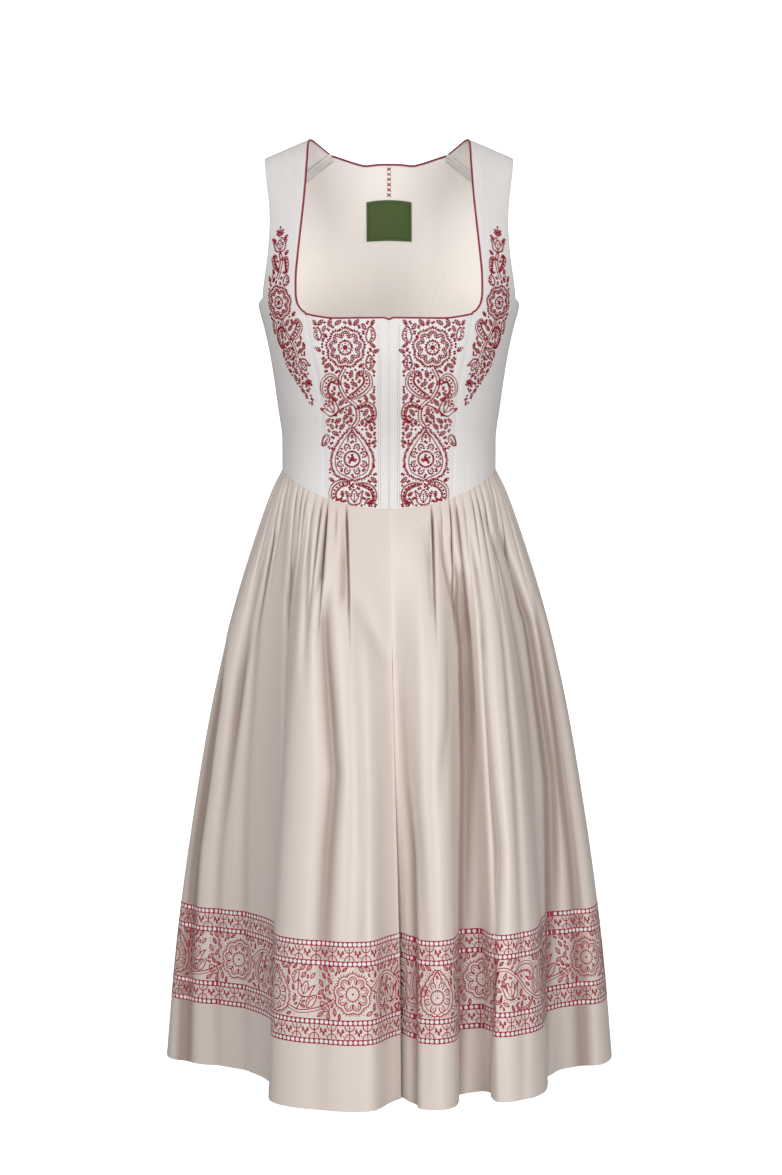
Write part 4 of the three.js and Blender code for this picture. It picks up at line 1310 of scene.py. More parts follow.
def closing_relief(row, u):
    """Two channels beside the closing, each between rows of stitching, and a bone at the seam."""
    x = u * np.interp(row, [0, LOW_ROWS], [73.0, FRONT_SEAM[0][1]]).mean()
    channel = 0.5 * ridge(x, 5.0, 3.2) - 0.35 * ridge(x, 9.6, 0.7) - 0.2 * ridge(x, 11.8, 0.8)
    return channel + 0.3 * ridge(u * 76, 70.0, 2.2)


class BodiceOperator(Operator):
    """The linen bodice panels, cut and sewn over the lining"""

    bl_idname = "dirndl.bodice"
    bl_label = "Bodice panels"

    def execute(self, context):
        settings = context.scene.dirndl_bodice
        cloths = linen_look(settings), lining_look(settings)
        for side, turn in SIDES:
            for name, grid, rows, columns, width in BODICE_PANELS:
                points, row, u = panel_parts(grid, rows, columns)
                relief = edge_roll(u, width)
                if name == "front_center":
                    relief = closing_relief(row, u) + relief
                self.add(f"{name}_{side}", turn(raised(points, relief)), cloths)
        row = np.linspace(0, len(back_edge) - 1, 170)[::-1]
        columns = back_columns(16, 14)
        points = raised(back_center_grid(row, columns), edge_roll((columns + 1) / 2, BACK_WIDTH))
        self.add("back_center", points, cloths)
        return {"FINISHED"}

    def add(self, name, points, materials):
        piece = shell(f"linen_{name}", points, BODICE_WALL, materials)
        settle(piece, [f"bodice_{name}"])


def back_columns(neck, shoulder):
    """Columns of the centre back, with one exactly on each corner of the neckline."""
    outer = np.sin(math.pi / 2 * np.linspace(0, 1, shoulder + 1)[1:])
    half = np.concatenate([np.linspace(0, NECK_CORNER, neck + 1), lerp(NECK_CORNER, 1, outer)])
    return np.concatenate([-half[:0:-1], half])


class LiningOperator(Operator):
    """The back lining, the covered shoulder seams and the bare label"""

    bl_idname = "dirndl.lining"
    bl_label = "Lining and label"

    def execute(self, context):
        lining = lining_look(context.scene.dirndl_bodice)
        linen = linen_look(context.scene.dirndl_bodice)
        lift = -BODICE_WALL - LAYER_GAP
        for side, turn in SIDES:
            points, _, u = panel_parts(back_side_grid, (len(back_armhole) - 1, 90), 30)
            points = turn(raised(points, edge_roll(u, 70, *LINING_ROLL)))
            piece = shell(f"lining_side_{side}", points, LINING_WALL, (lining,), lift)
            settle(piece, [f"lining_back_side_{side}"])
            piece = shell(f"seam_tape_{side}", turn(shoulder_seam_grid()), SEAM_TAPE_WALL, (linen,), lift)
            settle(piece, [f"shoulder_seam_{side}"])
        row = np.linspace(0, len(back_edge) - 1, 130)[::-1]
        columns = back_columns(12, 14)
        points = back_center_grid(row, columns, 2 * SEAM_TAPE_HALF)
        points = raised(points, edge_roll((columns + 1) / 2, BACK_WIDTH, *LINING_ROLL))
        piece = shell("lining_center", points, LINING_WALL, (lining,), lift)
        settle(piece, ["lining_back_center"])
        lift -= LINING_WALL + LABEL_GAP
        down = np.linspace(LABEL_TOP, LABEL_BOTTOM, 40)[:, None]
        x = np.linspace(LABEL_HALF_WIDTH, -LABEL_HALF_WIDTH, 50)[None, :]
        points = body_point(down + 0 * x, turn_at(down, x))
        green = label_look(context.scene.dirndl_trim.label)
        settle(shell("label_cloth", points, LABEL_WALL, (green,), lift), ["label"])
        return {"FINISHED"}


def shoulder_seam_grid():
    start, end = edge_stations(NECK_EDGE)[-1], edge_stations(ARMHOLE_EDGE)[-1]
    u = lerp(-0.012, 0.97, np.linspace(0, 1, 40))[None, :]
    across = np.linspace(SEAM_TAPE_HALF, -SEAM_TAPE_HALF, 25)[:, None]
    points = body_point(lerp(start[0], end[0], u) + across, lerp(start[1], end[1], u) + 0 * across)
    welts = ridge(across, 2.1, 1.3) + ridge(across, -1.9, 1.3)
    return raised(points, -1.3 * welts - 0.5)


# ---- Piping ----
def tube(name, centres, sides_of, radius, material):
    """A round cord on a line of points; `sides_of` holds two unit directions across it at each point."""
    away, up = sides_of
    angle = np.linspace(0, 2 * math.pi, PIPING_SIDES, endpoint=False)
    ring = np.cos(angle)[None, :, None] * away[:, None, :] + np.sin(angle)[None, :, None] * up[:, None, :]
    points = centres[:, None, :] + ring * radius * MM
    length = np.concatenate([[0], np.cumsum(np.linalg.norm(np.diff(centres, axis=0), axis=1))])
    index = np.arange(len(points) * PIPING_SIDES).reshape(-1, PIPING_SIDES)
    onward = np.roll(index, -1, axis=1)
    quads = np.stack([index[:-1], onward[:-1], onward[1:], index[1:]], -1).reshape(-1, 4)
    tangent = centres[1] - centres[0]
    if np.dot(np.cross(away[0], up[0]), tangent) > 0:
        quads = quads[:, ::-1]
    flip = 1 if quads[0, 0] == index[0, 0] else -1
    uv = np.stack([np.broadcast_to(angle * radius * MM, points.shape[:2]),
                   np.broadcast_to(length[:, None], points.shape[:2])], -1).reshape(-1, 2)
    faces = quads.tolist() + [index[0][::flip].tolist()[::-1], index[-1][::flip].tolist()]
    mesh = mesh_from(name, points.reshape(-1, 3), faces, uv)
    mesh.materials.append(material)
    mesh.shade_smooth()
    mesh.set_sharp_from_angle(angle=math.radians(60))
    return collection_object(name, mesh)


def piping_line(edge, beside, edge_normals):
    """Centres and cross directions of a cord that lies just past an edge."""
    tangent = unit(np.gradient(edge, axis=0))
    away = edge - beside
    away -= tangent * np.sum(away * tangent, -1, keepdims=True)
    away -= edge_normals * np.sum(away * edge_normals, -1, keepdims=True)
    away = unit(away)
    centres = edge + away * (CLOSING_GAP + PIPING_RADIUS) * MM - edge_normals * BODICE_WALL / 2 * MM
    return centres, (away, edge_normals)


class PipingOperator(Operator):
    """The crimson piping round the neck"""

    bl_idname = "dirndl.piping"
    bl_label = "Neck piping"

    def execute(self, context):
        material = piping_look(context.scene.dirndl_trim.piping)
        center, _, _ = panel_parts(front_center_grid, (LOW_ROWS, 110), 48)
        strap, row, _ = panel_parts(front_side_grid, (LOW_ROWS + 15, 190), 40)
        strap, row = strap[::-1], row[::-1]
        above = row > LOW_ROWS + 0.1
        edge = np.concatenate([center[0], strap[above, 0]])
        beside = np.concatenate([center[1], strap[above, 1]])
        normals = np.concatenate([grid_normals(center)[0], grid_normals(strap)[above, 0]])
        edge[0, 0] += PIPING_END * MM
        beside[0, 0] += PIPING_END * MM
        keep = slice(0, -1)
        for side, turn in SIDES:
            centres, (away, up) = piping_line(edge[keep], beside[keep], normals[keep])
            cross = (turn(away), turn(up))
            piece = tube(f"cord_front_{side}", turn(centres), cross, PIPING_RADIUS, material)
            settle(piece, [f"piping_front_{side}"])
        rows = np.linspace(0, len(back_edge) - 1, 170)[::-1]
        columns = back_columns(16, 14)
        back = back_center_grid(rows, columns)
        neck = np.abs(columns) <= NECK_CORNER + 0.001
        line = piping_line(back[0, neck], back[1, neck], grid_normals(back)[0, neck])
        piece = tube("cord_back", line[0], line[1], PIPING_RADIUS, material)
        settle(piece, ["piping_back"])
        return {"FINISHED"}


# ---- Skirt ----
# Creases listed for each panel: cloth width in millimetres at the hem, depth, and a path of share of
# the drop, cloth distance from the panel's first edge at the hem, and strength.
CREASES = {
    "front_left": (
        (11, 6.0, ((0.05, 140, 0), (0.13, 162, 0.5), (0.22, 165, 0.8), (0.344, 163.5, 1), (0.46, 160.5, 0.8),
         (0.66, 151.7, 0.7), (0.82, 146, 0.6), (1, 140, 0.5))),
        (8, 2.6, ((0.02, 59, 0.3), (0.09, 66.7, 1), (0.16, 71.8, 0.8), (0.24, 70, 0))),
        (12, 2.8, ((0.03, 105, 0.2), (0.1, 121, 0.9), (0.17, 148, 0.8), (0.24, 162, 0.2))),
        (9, 2.4, ((0.04, 212, 0), (0.13, 226, 1), (0.2, 229, 0.8), (0.28, 225, 0))),
        (13, 3.2, ((0.03, 272, 0), (0.112, 306, 0.8), (0.184, 335, 1), (0.27, 352, 0.9), (0.37, 364, 0.8),
         (0.47, 364, 0.6), (0.6, 351, 0.3), (0.75, 345, 0))),
        (12, 5.0, ((0.04, 340, 0), (0.142, 377, 0.7), (0.244, 399, 1), (0.377, 397, 1), (0.513, 398, 1),
         (0.63, 389, 0.9), (0.78, 375, 0.8), (1, 340, 0.5))),
        (11, 3.4, ((0.25, 6, 0), (0.324, 9, 0.4), (0.457, 17, 0.6), (0.573, 30, 1), (0.723, 34, 1),
         (0.923, 34.5, 1), (1, 34, 0.9))),
        (9, 1.8, ((0.36, 28, 0), (0.422, 34, 0.5), (0.569, 51, 1), (0.735, 58, 1), (0.95, 62, 0.6),
         (1, 62, 0.5))),
        (10, 3.4, ((0.2, 228, 0), (0.245, 225, 0.6), (0.342, 220, 0.9), (0.472, 221, 1), (0.588, 226, 1),
         (0.733, 216, 0.9), (0.942, 182, 0.7), (1, 176, 0.6))),
        (9, 2.2, ((0.15, 278, 0), (0.25, 272, 0.7), (0.351, 266, 1), (0.513, 262, 1), (0.674, 256, 0.9),
         (0.918, 248, 0.6), (1, 246, 0.5))),
        (14, 4.4, ((0.2, 433, 0), (0.249, 431, 0.6), (0.381, 427, 1), (0.516, 423, 1), (0.633, 421, 1),
         (0.785, 416, 0.9), (1, 410, 0.8))),
        (14, 1.6, ((0.2, 113, 0), (0.33, 110, 0.8), (0.42, 89, 1), (0.54, 78, 0.3), (0.65, 76, 0))),
    ),
    "front_right": (
        (15, 6.0, ((0.28, 438, 0), (0.386, 424, 0.8), (0.52, 420, 1), (0.64, 420, 1), (0.79, 411, 0.9),
         (1, 402, 0.8))),
        (8, 2.2, ((0.25, 366, 0), (0.312, 369, 0.6), (0.38, 370, 1), (0.514, 372, 1), (0.633, 373, 1),
         (0.786, 366, 0.9), (1, 355, 0.7))),
        (12, 1.9, ((0.15, 67, 0), (0.224, 67, 0.6), (0.322, 67, 0.8), (0.454, 62, 1), (0.569, 64, 1),
         (0.716, 71, 1), (0.9, 75, 0.3), (1, 76, 0))),
        (10, 5.0, ((0.08, 240, 0), (0.15, 264, 0.5), (0.2, 267.5, 1), (0.26, 261, 0.9), (0.356, 250, 0.6),
         (0.474, 240, 0.5), (0.62, 236, 0.45), (0.78, 223, 0.4), (0.98, 205, 0.35))),
        (8, 3.5, ((0.02, 143, 0.3), (0.077, 143.6, 0.8), (0.127, 145, 1), (0.165, 155, 0))),
        (7, 3.0, ((0.02, 87, 0.3), (0.095, 91, 1), (0.15, 93, 0.8), (0.18, 93, 0))),
        (14, 4.2, ((0.12, 133, 0), (0.2, 130, 0.8), (0.33, 116, 1), (0.446, 106, 0.9), (0.573, 114, 0.9),
         (0.72, 118, 0.8), (0.86, 118, 0.4), (1, 118, 0.3))),
        (10, 2.2, ((0.05, 320, 0), (0.117, 348, 0.7), (0.24, 353, 1), (0.376, 344, 0.9), (0.51, 341, 0.8),
         (0.63, 335, 0.8), (0.78, 326, 0.8), (1, 317, 0.5))),
        (12, 2.4, ((0.07, 366, 0), (0.17, 375, 0.9), (0.35, 376, 1), (0.46, 372, 0.5), (0.62, 367, 0))),
        (10, 2.0, ((0.05, 190, 0), (0.1, 185, 0.8), (0.2, 172, 1), (0.33, 160, 0))),
        (22, 1.6, ((0.12, 80, 0), (0.16, 64, 0.8), (0.21, 40, 1), (0.26, 16, 0.8), (0.3, 0, 0.3))),
    ),
    "back_left": (
        (12, 4.2, ((0.06, 120, 0), (0.2, 132, 0.9), (0.36, 128, 1), (0.6, 120, 0.6), (0.95, 112, 0.3))),
        (14, 2.8, ((0.05, 250, 0), (0.18, 262, 0.8), (0.4, 270, 1), (0.62, 266, 0.3), (0.8, 262, 0))),
        (11, 3.4, ((0.04, 380, 0), (0.14, 372, 0.9), (0.3, 360, 0.8), (0.52, 352, 0.4), (0.75, 350, 0))),
        (10, 2.4, ((0.03, 470, 0), (0.12, 462, 1), (0.26, 452, 0.6), (0.4, 448, 0))),
    ),
    "back_right": (
        (11, 4.4, ((0.05, 150, 0), (0.17, 160, 0.8), (0.33, 158, 1), (0.58, 150, 0.6), (0.95, 140, 0.3))),
        (15, 2.6, ((0.07, 60, 0), (0.2, 70, 0.8), (0.42, 76, 1), (0.66, 74, 0.3), (0.85, 72, 0))),
        (12, 3.0, ((0.04, 300, 0), (0.15, 292, 0.9), (0.34, 284, 0.8), (0.55, 280, 0.4), (0.8, 280, 0))),
        (10, 2.6, ((0.03, 430, 0), (0.11, 424, 1), (0.24, 416, 0.7), (0.42, 410, 0))),
    ),
}
CREASE_DEPTH = 1.7    # how much deeper than stated every crease is pressed
COLUMNS_PER_GATHER = 11
SMOOTH_COLUMNS = 16   # of the ungathered stretch beside the centre front
# Unevenness of the gathers' places, depths and lengths: size, rate and phase of each swing.
PLACE_SWINGS = ((0.14, 1.9, 0.5), (0.09, 4.3, 0))
DEPTH_SWINGS = ((0.35, 2.4, 0.7), (0.15, 5.1, 0))
LENGTH_SWINGS = ((0.09, 1.7, 2), (0.05, 3.3, 0))
PAINTED_SHADE_GATHER = 2.0   # depth of a gather, in millimetres, that gets the full painted shade
# depth of a crease, in millimetres, at which its painted shade is full
PAINTED_SHADE_CREASE = 6
SEAM_DIP = 0.6        # depth and reach of the dip along a panel's seams
SEAM_REACH = 2.5


def skirt_columns(start, end, is_front, side):
    """Cloth distance at the hem, waist length and gather count of each column of a panel."""
    first, last = start + side * PANEL_GAP, end - side * PANEL_GAP
    waist_first = (0 if is_front else WAIST_SIDE) + PANEL_GAP
    waist_last = (WAIST_SIDE if is_front else WAIST_BACK) - PANEL_GAP
    gathers = GATHERS_FRONT if is_front else GATHERS_BACK
    share = np.linspace(0, 1, gathers * COLUMNS_PER_GATHER + 1)
    if not is_front:
        return lerp(first, last, share), lerp(waist_first, waist_last, share), share * gathers
    near = np.linspace(0, 1, SMOOTH_COLUMNS, endpoint=False)
    hem_from, waist_from = first + side * FRONT_SMOOTH_HEM, waist_first + FRONT_SMOOTH_WAIST
    hem = np.concatenate([lerp(first, hem_from, near), lerp(hem_from, last, share)])
    waist = np.concatenate([lerp(waist_first, waist_from, near), lerp(waist_from, waist_last, share)])
    return hem, waist, np.concatenate([near * 0, share * gathers])


SKIRT_ROWS = np.concatenate([np.linspace(0, 0.3, 48, endpoint=False), np.linspace(0.3, 1, 44)])
# The right front's edge laps over the left one towards the hem, in millimetres.
LAP_REACH = 20.0
LAP_OVER = 8.0
LAP_UNDER = -2.5
LAP_START = 0.3       # share of the drop where it begins, and over which it grows
LAP_GROWTH = 0.55


def swung(start, count, swings):
    for size, rate, phase in swings:
        start = start + size * np.sin(count * rate + phase)
    return start


def gather_relief(below, count, gathers, depth):
    """Narrow valleys between rounded gathers, each of its own depth and length."""
    spot = swung(count, count, PLACE_SWINGS)
    valley = (1 - np.abs(np.cos(math.pi * (spot - 0.25)))) ** 1.8
    profile = 0.55 - 1.6 * valley
    size = swung(0.85, count, DEPTH_SWINGS)
    reach = swung(0.23, count, LENGTH_SWINGS)
    ends = smooth(count / 0.6) * smooth((gathers - count) / 0.4)
    rise = smooth((below + 0.012) / 0.05)
    fade = rise[:, None] * (1 - smooth(below[:, None] / reach[None, :]))
    return depth * (profile * size * ends)[None, :] * fade


def crease_relief(below, distance, panel):
    total = np.zeros((len(below), len(distance)))
    for width, depth, path in CREASES[panel]:
        places, centre, strength = np.array(path).T
        middle = np.interp(below, places, centre)[:, None]
        force = np.interp(below, places, strength, left=0, right=0)[:, None]
        away = (distance[None, :] - middle) / width
        total -= CREASE_DEPTH * depth * force * np.exp(-(away**2))
    return total


def skirt_panel(name, side, start, end, is_front, depth):
    """The panel's grid with its gathers and creases, and how much painted shade each place gets."""
    hem, waist, count = skirt_columns(start, end, is_front, side)
    base = skirt_point(hem, waist, SKIRT_ROWS, side)
    distance = np.abs(hem - start)
    gathers = GATHERS_FRONT if is_front else GATHERS_BACK
    relief = gather_relief(SKIRT_ROWS, count, gathers, depth)
    creases = crease_relief(SKIRT_ROWS, distance, name)
    # Painted shade: strongest in the gathers' valleys and along the creases, where their shadow falls.
    hollow = np.clip(-relief / PAINTED_SHADE_GATHER, 0, 1) + 0.75 * np.clip(-creases / PAINTED_SHADE_CREASE, 0, 1)
    relief = relief + creases
    seam = np.minimum(distance, distance[-1] - distance)
    relief = relief - SEAM_DIP * np.exp(-seam / SEAM_REACH)[None, :]
    if is_front:
        growth = smooth((SKIRT_ROWS - LAP_START) / LAP_GROWTH)
        lapped = np.exp(-((distance / LAP_REACH) ** 2))[None, :] * growth[:, None]
        relief = relief + lapped * (LAP_OVER if side < 0 else LAP_UNDER)
    points = raised(base, relief)
    return points, np.clip(hollow, 0, 1), distance


class SkirtOperator(Operator):
    """The satin skirt panels, gathered at the waist"""

    bl_idname = "dirndl.skirt"
    bl_label = "Skirt panels"

    def execute(self, context):
        settings = context.scene.dirndl_skirt
        satin = satin_look(settings)
        for name, side, start, end, is_front in SKIRT_PANELS:
            points, hollow, _ = skirt_panel(name, side, start, end, is_front, settings.gather_depth)
            # The painted shade of the folds rides on each panel as a point attribute for the satin.
            piece = shell(f"satin_{name}", points, SKIRT_WALL, (satin,), attributes={"hollow": hollow})
            settle(piece, [f"skirt_{name}_inner", f"skirt_{name}_outer"])
        return {"FINISHED"}


# ---- Stitches ----
UNEVENNESS = 0.16
STITCH_SEED = 7


class Sewing(Wiring):
    """The node tree that lays a stitch on each edge of a mesh and a knot on each point without edges."""

    def __init__(self):
        self.tree = bpy.data.node_groups.new("Stitches", "GeometryNodeTree")
        face = self.tree.interface
        face.new_socket("Geometry", in_out="INPUT", socket_type="NodeSocketGeometry")
        for name, kind in (("Height", "Float"), ("Cover", "Float"), ("Unevenness", "Float"),
                           ("Sides", "Int"), ("Seed", "Int"), ("Printed", "Bool"), ("Thread", "Material")):
            face.new_socket(name, in_out="INPUT", socket_type=f"NodeSocket{kind}")
        face.new_socket("Geometry", in_out="OUTPUT", socket_type="NodeSocketGeometry")
        entry = self.tree.nodes.new("NodeGroupInput")
        given = {socket.name: Shade(self, socket) for socket in entry.outputs if socket.name}
        joined = self.node("GeometryNodeJoinGeometry")
        for part in (self.stitches(given), self.knots(given)):
            self.tree.links.new(part.socket, joined.socket.node.inputs[0])
        solid = self.node("GeometryNodeRealizeInstances", i0=joined)
        smoothed = self.node("GeometryNodeSetShadeSmooth", Geometry=solid)
        dressed = self.node("GeometryNodeSetMaterial", Geometry=smoothed, Material=given["Thread"])
        self.tree.links.new(dressed.socket, self.tree.nodes.new("NodeGroupOutput").inputs[0])

    def named(self, name, kind="FLOAT"):
        return self.node("GeometryNodeInputNamedAttribute", {"data_type": kind}, Name=name)

    def switch(self, test, if_false, if_true):
        return self.node("GeometryNodeSwitch", {"input_type": "GEOMETRY"}, i0=test, i1=if_false, i2=if_true)

    def random(self, given, low, high):
        return self.node("FunctionNodeRandomValue", {"data_type": "FLOAT"}, 1, i2=low, i3=high,
                         Seed=given["Seed"])

    def laid(self, points, form, direction, up, scale):
        along = self.node("FunctionNodeAlignRotationToVector", {"axis": "X"}, Vector=direction)
        level = self.node("FunctionNodeAlignRotationToVector", {"axis": "Z", "pivot_axis": "X"},
                          Rotation=along, Vector=up)
        return self.node("GeometryNodeInstanceOnPoints", Points=points, Instance=form, Rotation=level,
                         Scale=scale)

    def stitches(self, given):
        ends = self.node("GeometryNodeInputMeshEdgeVertices", output=3)
        start = Shade(self, ends.socket.node.outputs[2])
        step = self.vector("SUBTRACT", ends, start)
        capture = self.tree.nodes.new("GeometryNodeCaptureAttribute")
        capture.domain = "EDGE"
        for kind, name in (("VECTOR", "Direction"), ("VECTOR", "Up"), ("FLOAT", "Breadth")):
            capture.capture_items.new(kind, name)
        self._set(capture.inputs["Geometry"], given["Geometry"])
        self._set(capture.inputs["Direction"], step)
        self._set(capture.inputs["Up"], self.named("up", "FLOAT_VECTOR"))
        self._set(capture.inputs["Breadth"], self.named("breadth"))
        taken = [Shade(self, capture.outputs[name]) for name in ("Geometry", "Direction", "Up", "Breadth")]
        geometry, direction, up, breadth = taken
        points = self.node("GeometryNodeMeshToPoints", {"mode": "EDGES"}, Mesh=geometry)
        length = self.vector("LENGTH", direction, (0, 0, 0), 1)
        uneven = self.random(given, 1 - given["Unevenness"], 1 + given["Unevenness"])
        scale = self.node("ShaderNodeCombineXYZ", X=length * given["Cover"] * 0.5, Y=breadth * 0.5 * uneven,
                          Z=given["Height"] * uneven)
        thread = self.node("GeometryNodeMeshCone", Vertices=given["Sides"], Radius_Top=0.5,
                           Radius_Bottom=1.0, Depth=1.0)
        strip = self.node("GeometryNodeMeshGrid", Size_X=2.0, Size_Y=2.0, Vertices_X=2, Vertices_Y=2)
        return self.laid(points, self.switch(given["Printed"], thread, strip), direction, up, scale)

    def knots(self, given):
        lone = self.math("COMPARE", self.named("knot"), 1.0)
        kept = self.node("GeometryNodeSeparateGeometry", {"domain": "POINT"}, Geometry=given["Geometry"],
                         Selection=lone)
        points = self.node("GeometryNodeMeshToPoints", {"mode": "VERTICES"}, Mesh=kept)
        breadth = self.named("breadth") * 0.5
        scale = self.node("ShaderNodeCombineXYZ", X=breadth, Y=breadth, Z=given["Height"])
        knot = self.node("GeometryNodeMeshCone", Vertices=8, Side_Segments=1, Radius_Top=0.6,
                         Radius_Bottom=1.0, Depth=1.0)
        disc = self.node("GeometryNodeMeshCircle", {"fill_type": "NGON"}, Vertices=12, Radius=1.0)
        up = self.named("up", "FLOAT_VECTOR")
        level = self.vector("CROSS_PRODUCT", up, (0.0, 0.0, 1.0))
        return self.laid(points, self.switch(given["Printed"], knot, disc), level, up, scale)


def sewn(name, page, cloth, material, pitch, height, printed=False, lift=0.05, sides=6, cover=0.96,
         flip=1.0, bold=1.0):
    """A page's lines and knots sewn on cloth; `flip` of -1 puts it on the other half of the body."""
    lines = [(spaced(line, pitch) if len(line) > 2 else line, breadth) for line, breadth in page.lines]
    counts = [len(line) for line, _ in lines]
    knots = np.array(page.knots, float).reshape(-1, 3)
    flat = np.concatenate([line for line, _ in lines] + [knots[:, :2]])
    points, ups = cloth.at(flat, lift)
    breadths = np.concatenate([np.full(len(line), breadth) for line, breadth in lines] + [knots[:, 2]])
    ends = np.cumsum(counts)
    edges = [(i, i + 1) for end, count in zip(ends, counts) for i in range(end - count, end - 1)]
    is_knot = (np.arange(len(flat)) >= ends[-1]).astype(float) if len(ends) else np.ones(len(flat))
    side = np.array([flip, 1.0, 1.0])
    attributes = {"up": ups * side, "breadth": breadths * bold * MM, "knot": is_knot}
    mesh = mesh_from(name, points * side, [], None, attributes, edges)
    piece = collection_object(name, mesh)
    tree = bpy.data.node_groups.get("Stitches") or Sewing().tree
    modifier = piece.modifiers.new("Stitches", "NODES")
    modifier.node_group = tree
    values = {"Height": height * MM, "Cover": cover, "Unevenness": 0.0 if printed else UNEVENNESS,
              "Sides": sides, "Seed": STITCH_SEED, "Printed": printed, "Thread": material}
    for item in tree.interface.items_tree:
        if item.in_out == "INPUT" and item.name in values:
            modifier[item.identifier] = values[item.name]
    finished = piece.evaluated_get(bpy.context.evaluated_depsgraph_get())
    piece.data = bpy.data.meshes.new_from_object(finished)
    piece.modifiers.remove(modifier)
    return settle(piece, ())


class BandCloth:
    """A skirt panel read by cloth distance at the hem, from the front seam, and by drop from the band."""

    def __init__(self, points, hem):
        order = np.argsort(hem)
        self.points = points[:, order]
        self.hem = hem[order]
        self.surface = Surface(self.points, SKIRT_ROWS, self.hem)
        self.surface.normals = grid_normals(points)[:, order]

    def at(self, line, lift=0.0):
        top = np.interp(line[:, 0], self.hem, self.points[0, :, 2])
        height = (BAND_TOP - line[:, 1] - HEM_DROP) * MM
        return self.surface.at((top - height) / (top + HEM_DROP * MM), line[:, 0], lift)


class BackInside:
    """The back's lining, read by distance across and by drop from the shoulder; `depth` is its face."""

    def __init__(self, depth):
        self.depth = depth

    @staticmethod
    def on_body(down, x):
        return body_point(down, turn_at(down, x))

    def at(self, line, lift=0.0):
        down, x = line[:, 1], line[:, 0]
        points = self.on_body(down, x)
        step = 0.5
        across = self.on_body(down, x + step) - self.on_body(down, x - step)
        downward = self.on_body(down + step, x) - self.on_body(down - step, x)
        inward = unit(np.cross(across, downward))
        inward *= np.where(inward[:, 1:2] > 0, -1, 1)
        return points + inward * (self.depth + lift) * MM, inward


EMBROIDERY_BOLD = 1.3
TOPSTITCH_LINES = (9.6, 12.0)     # distances from the closing
TOPSTITCH_PITCH = 2.6
LABEL_EDGE = 2.6
LABEL_PITCH = 3.2
BAND_LIFT = 0.16
BAND_COVER = 1.12
BAND_MARGIN = 0.2                 # clear of a panel's seams


def above_waist(line):
    return line[:, 1] < waist_down(turn_at(line[:, 1], line[:, 0] * 0.97), True) - 1.2


def within(low, high):
    """A test of which points of a line lie between two distances across."""
    return lambda line: (line[:, 0] > low) & (line[:, 0] < high)


class EmbroideryOperator(Operator):
    """The crimson embroidery of the fronts and straps"""

    bl_idname = "dirndl.embroidery"
    bl_label = "Bodice embroidery"

    def execute(self, context):
        settings = context.scene.dirndl_thread
        crimson = thread_look("crimson_thread", settings.crimson)
        pale = thread_look("pale_thread", settings.pale)
        cloth = FrontCloth()
        pages = ("front", front_page().kept(above_waist)), ("strap", strap_page())
        seams = Pattern()
        for across in TOPSTITCH_LINES:
            seams.line(np.array([(across, 232.0), (across, 438.0)]))
        seams.lines = [(spaced(line, TOPSTITCH_PITCH), 0.65) for line, _ in seams.lines]
        for side, flip in (("left", 1.0), ("right", -1.0)):
            for place, page in pages:
                sewn(f"embroidery_{place}_{side}", page, cloth, crimson, settings.pitch,
                     settings.height, flip=flip, bold=EMBROIDERY_BOLD)
            sewn(f"topstitch_{side}", seams, cloth, pale, TOPSTITCH_PITCH, 0.25, cover=0.75,
                 sides=5, lift=-0.05, flip=flip)
        column = Pattern()
        for down in np.linspace(70.5, 95.5, 6):
            for slant in (-1, 1):
                column.line([(-2.9, down - 2.0 * slant), (2.9, down + 2.0 * slant)], 1.5)
        depth = BODICE_WALL + LAYER_GAP + LINING_WALL
        sewn("cross_stitches", column, BackInside(depth), crimson, 7.0, 0.5, cover=1.0)
        edging = thread_look("label_thread", settings.edging, 0.7)
        border = Pattern()
        x, top, bottom = LABEL_HALF_WIDTH - LABEL_EDGE, LABEL_TOP + LABEL_EDGE, LABEL_BOTTOM - LABEL_EDGE
        corners = np.array([(-x, top), (x, top), (x, bottom), (-x, bottom), (-x, top)])
        for start, end in zip(corners, corners[1:]):
            border.line(spaced(np.array([start, end]), LABEL_PITCH), 1.1)
        label = BackInside(depth + LABEL_GAP + LABEL_WALL)
        sewn("label_stitches", border, label, edging, LABEL_PITCH, 0.3, cover=0.62, sides=5)
        return {"FINISHED"}


class BorderOperator(Operator):
    """The printed flower band above the hem"""

    bl_idname = "dirndl.border"
    bl_label = "Border band"

    def execute(self, context):
        settings = context.scene.dirndl_thread
        ink = thread_look("border_ink", settings.ink)
        white = thread_look("border_white", settings.white)
        flowers, rails, dots = band_page()
        for name, side, start, end, is_front in SKIRT_PANELS:
            points, _, distance = skirt_panel(name, side, start, end, is_front,
                                              context.scene.dirndl_skirt.gather_depth)
            hem = start + side * distance - FRONT_SEAM_HEM
            cloth = BandCloth(points, hem)
            inside = within(hem.min() + BAND_MARGIN, hem.max() - BAND_MARGIN)
            sewn(f"border_{name}", flowers.kept(inside), cloth, ink, 2.0, 0.1, printed=True,
                 lift=BAND_LIFT, cover=BAND_COVER, bold=0.53)
            sewn(f"border_rails_{name}", rails.kept(inside), cloth, ink, 2.4, 0.1, printed=True,
                 lift=BAND_LIFT, cover=BAND_COVER)
            sewn(f"border_dots_{name}", dots.kept(inside), cloth, white, 2.0, 0.1, printed=True,
                 lift=0.25)
        return {"FINISHED"}


# ---- Stage ----
WORLD_LIGHT = 0.27
# Place, turn in degrees about X, size and glow.
FLOOR = ((0, 0, -1.38), 0, 8, 0.9)
BACKDROP = ((0, 5.5, 0), 90, 5.6, 1.1)
LIGHTS_AIM = (0, 0, -0.6)
SENSOR = 36
LENS = SENSOR * 2525 / 1175       # focal length and height of the picture, in its pixels
EYE = (2.34 * MM, -2.96, -0.25)
EYE_TILT = 5.2                    # degrees below the level
FARTHEST = 60


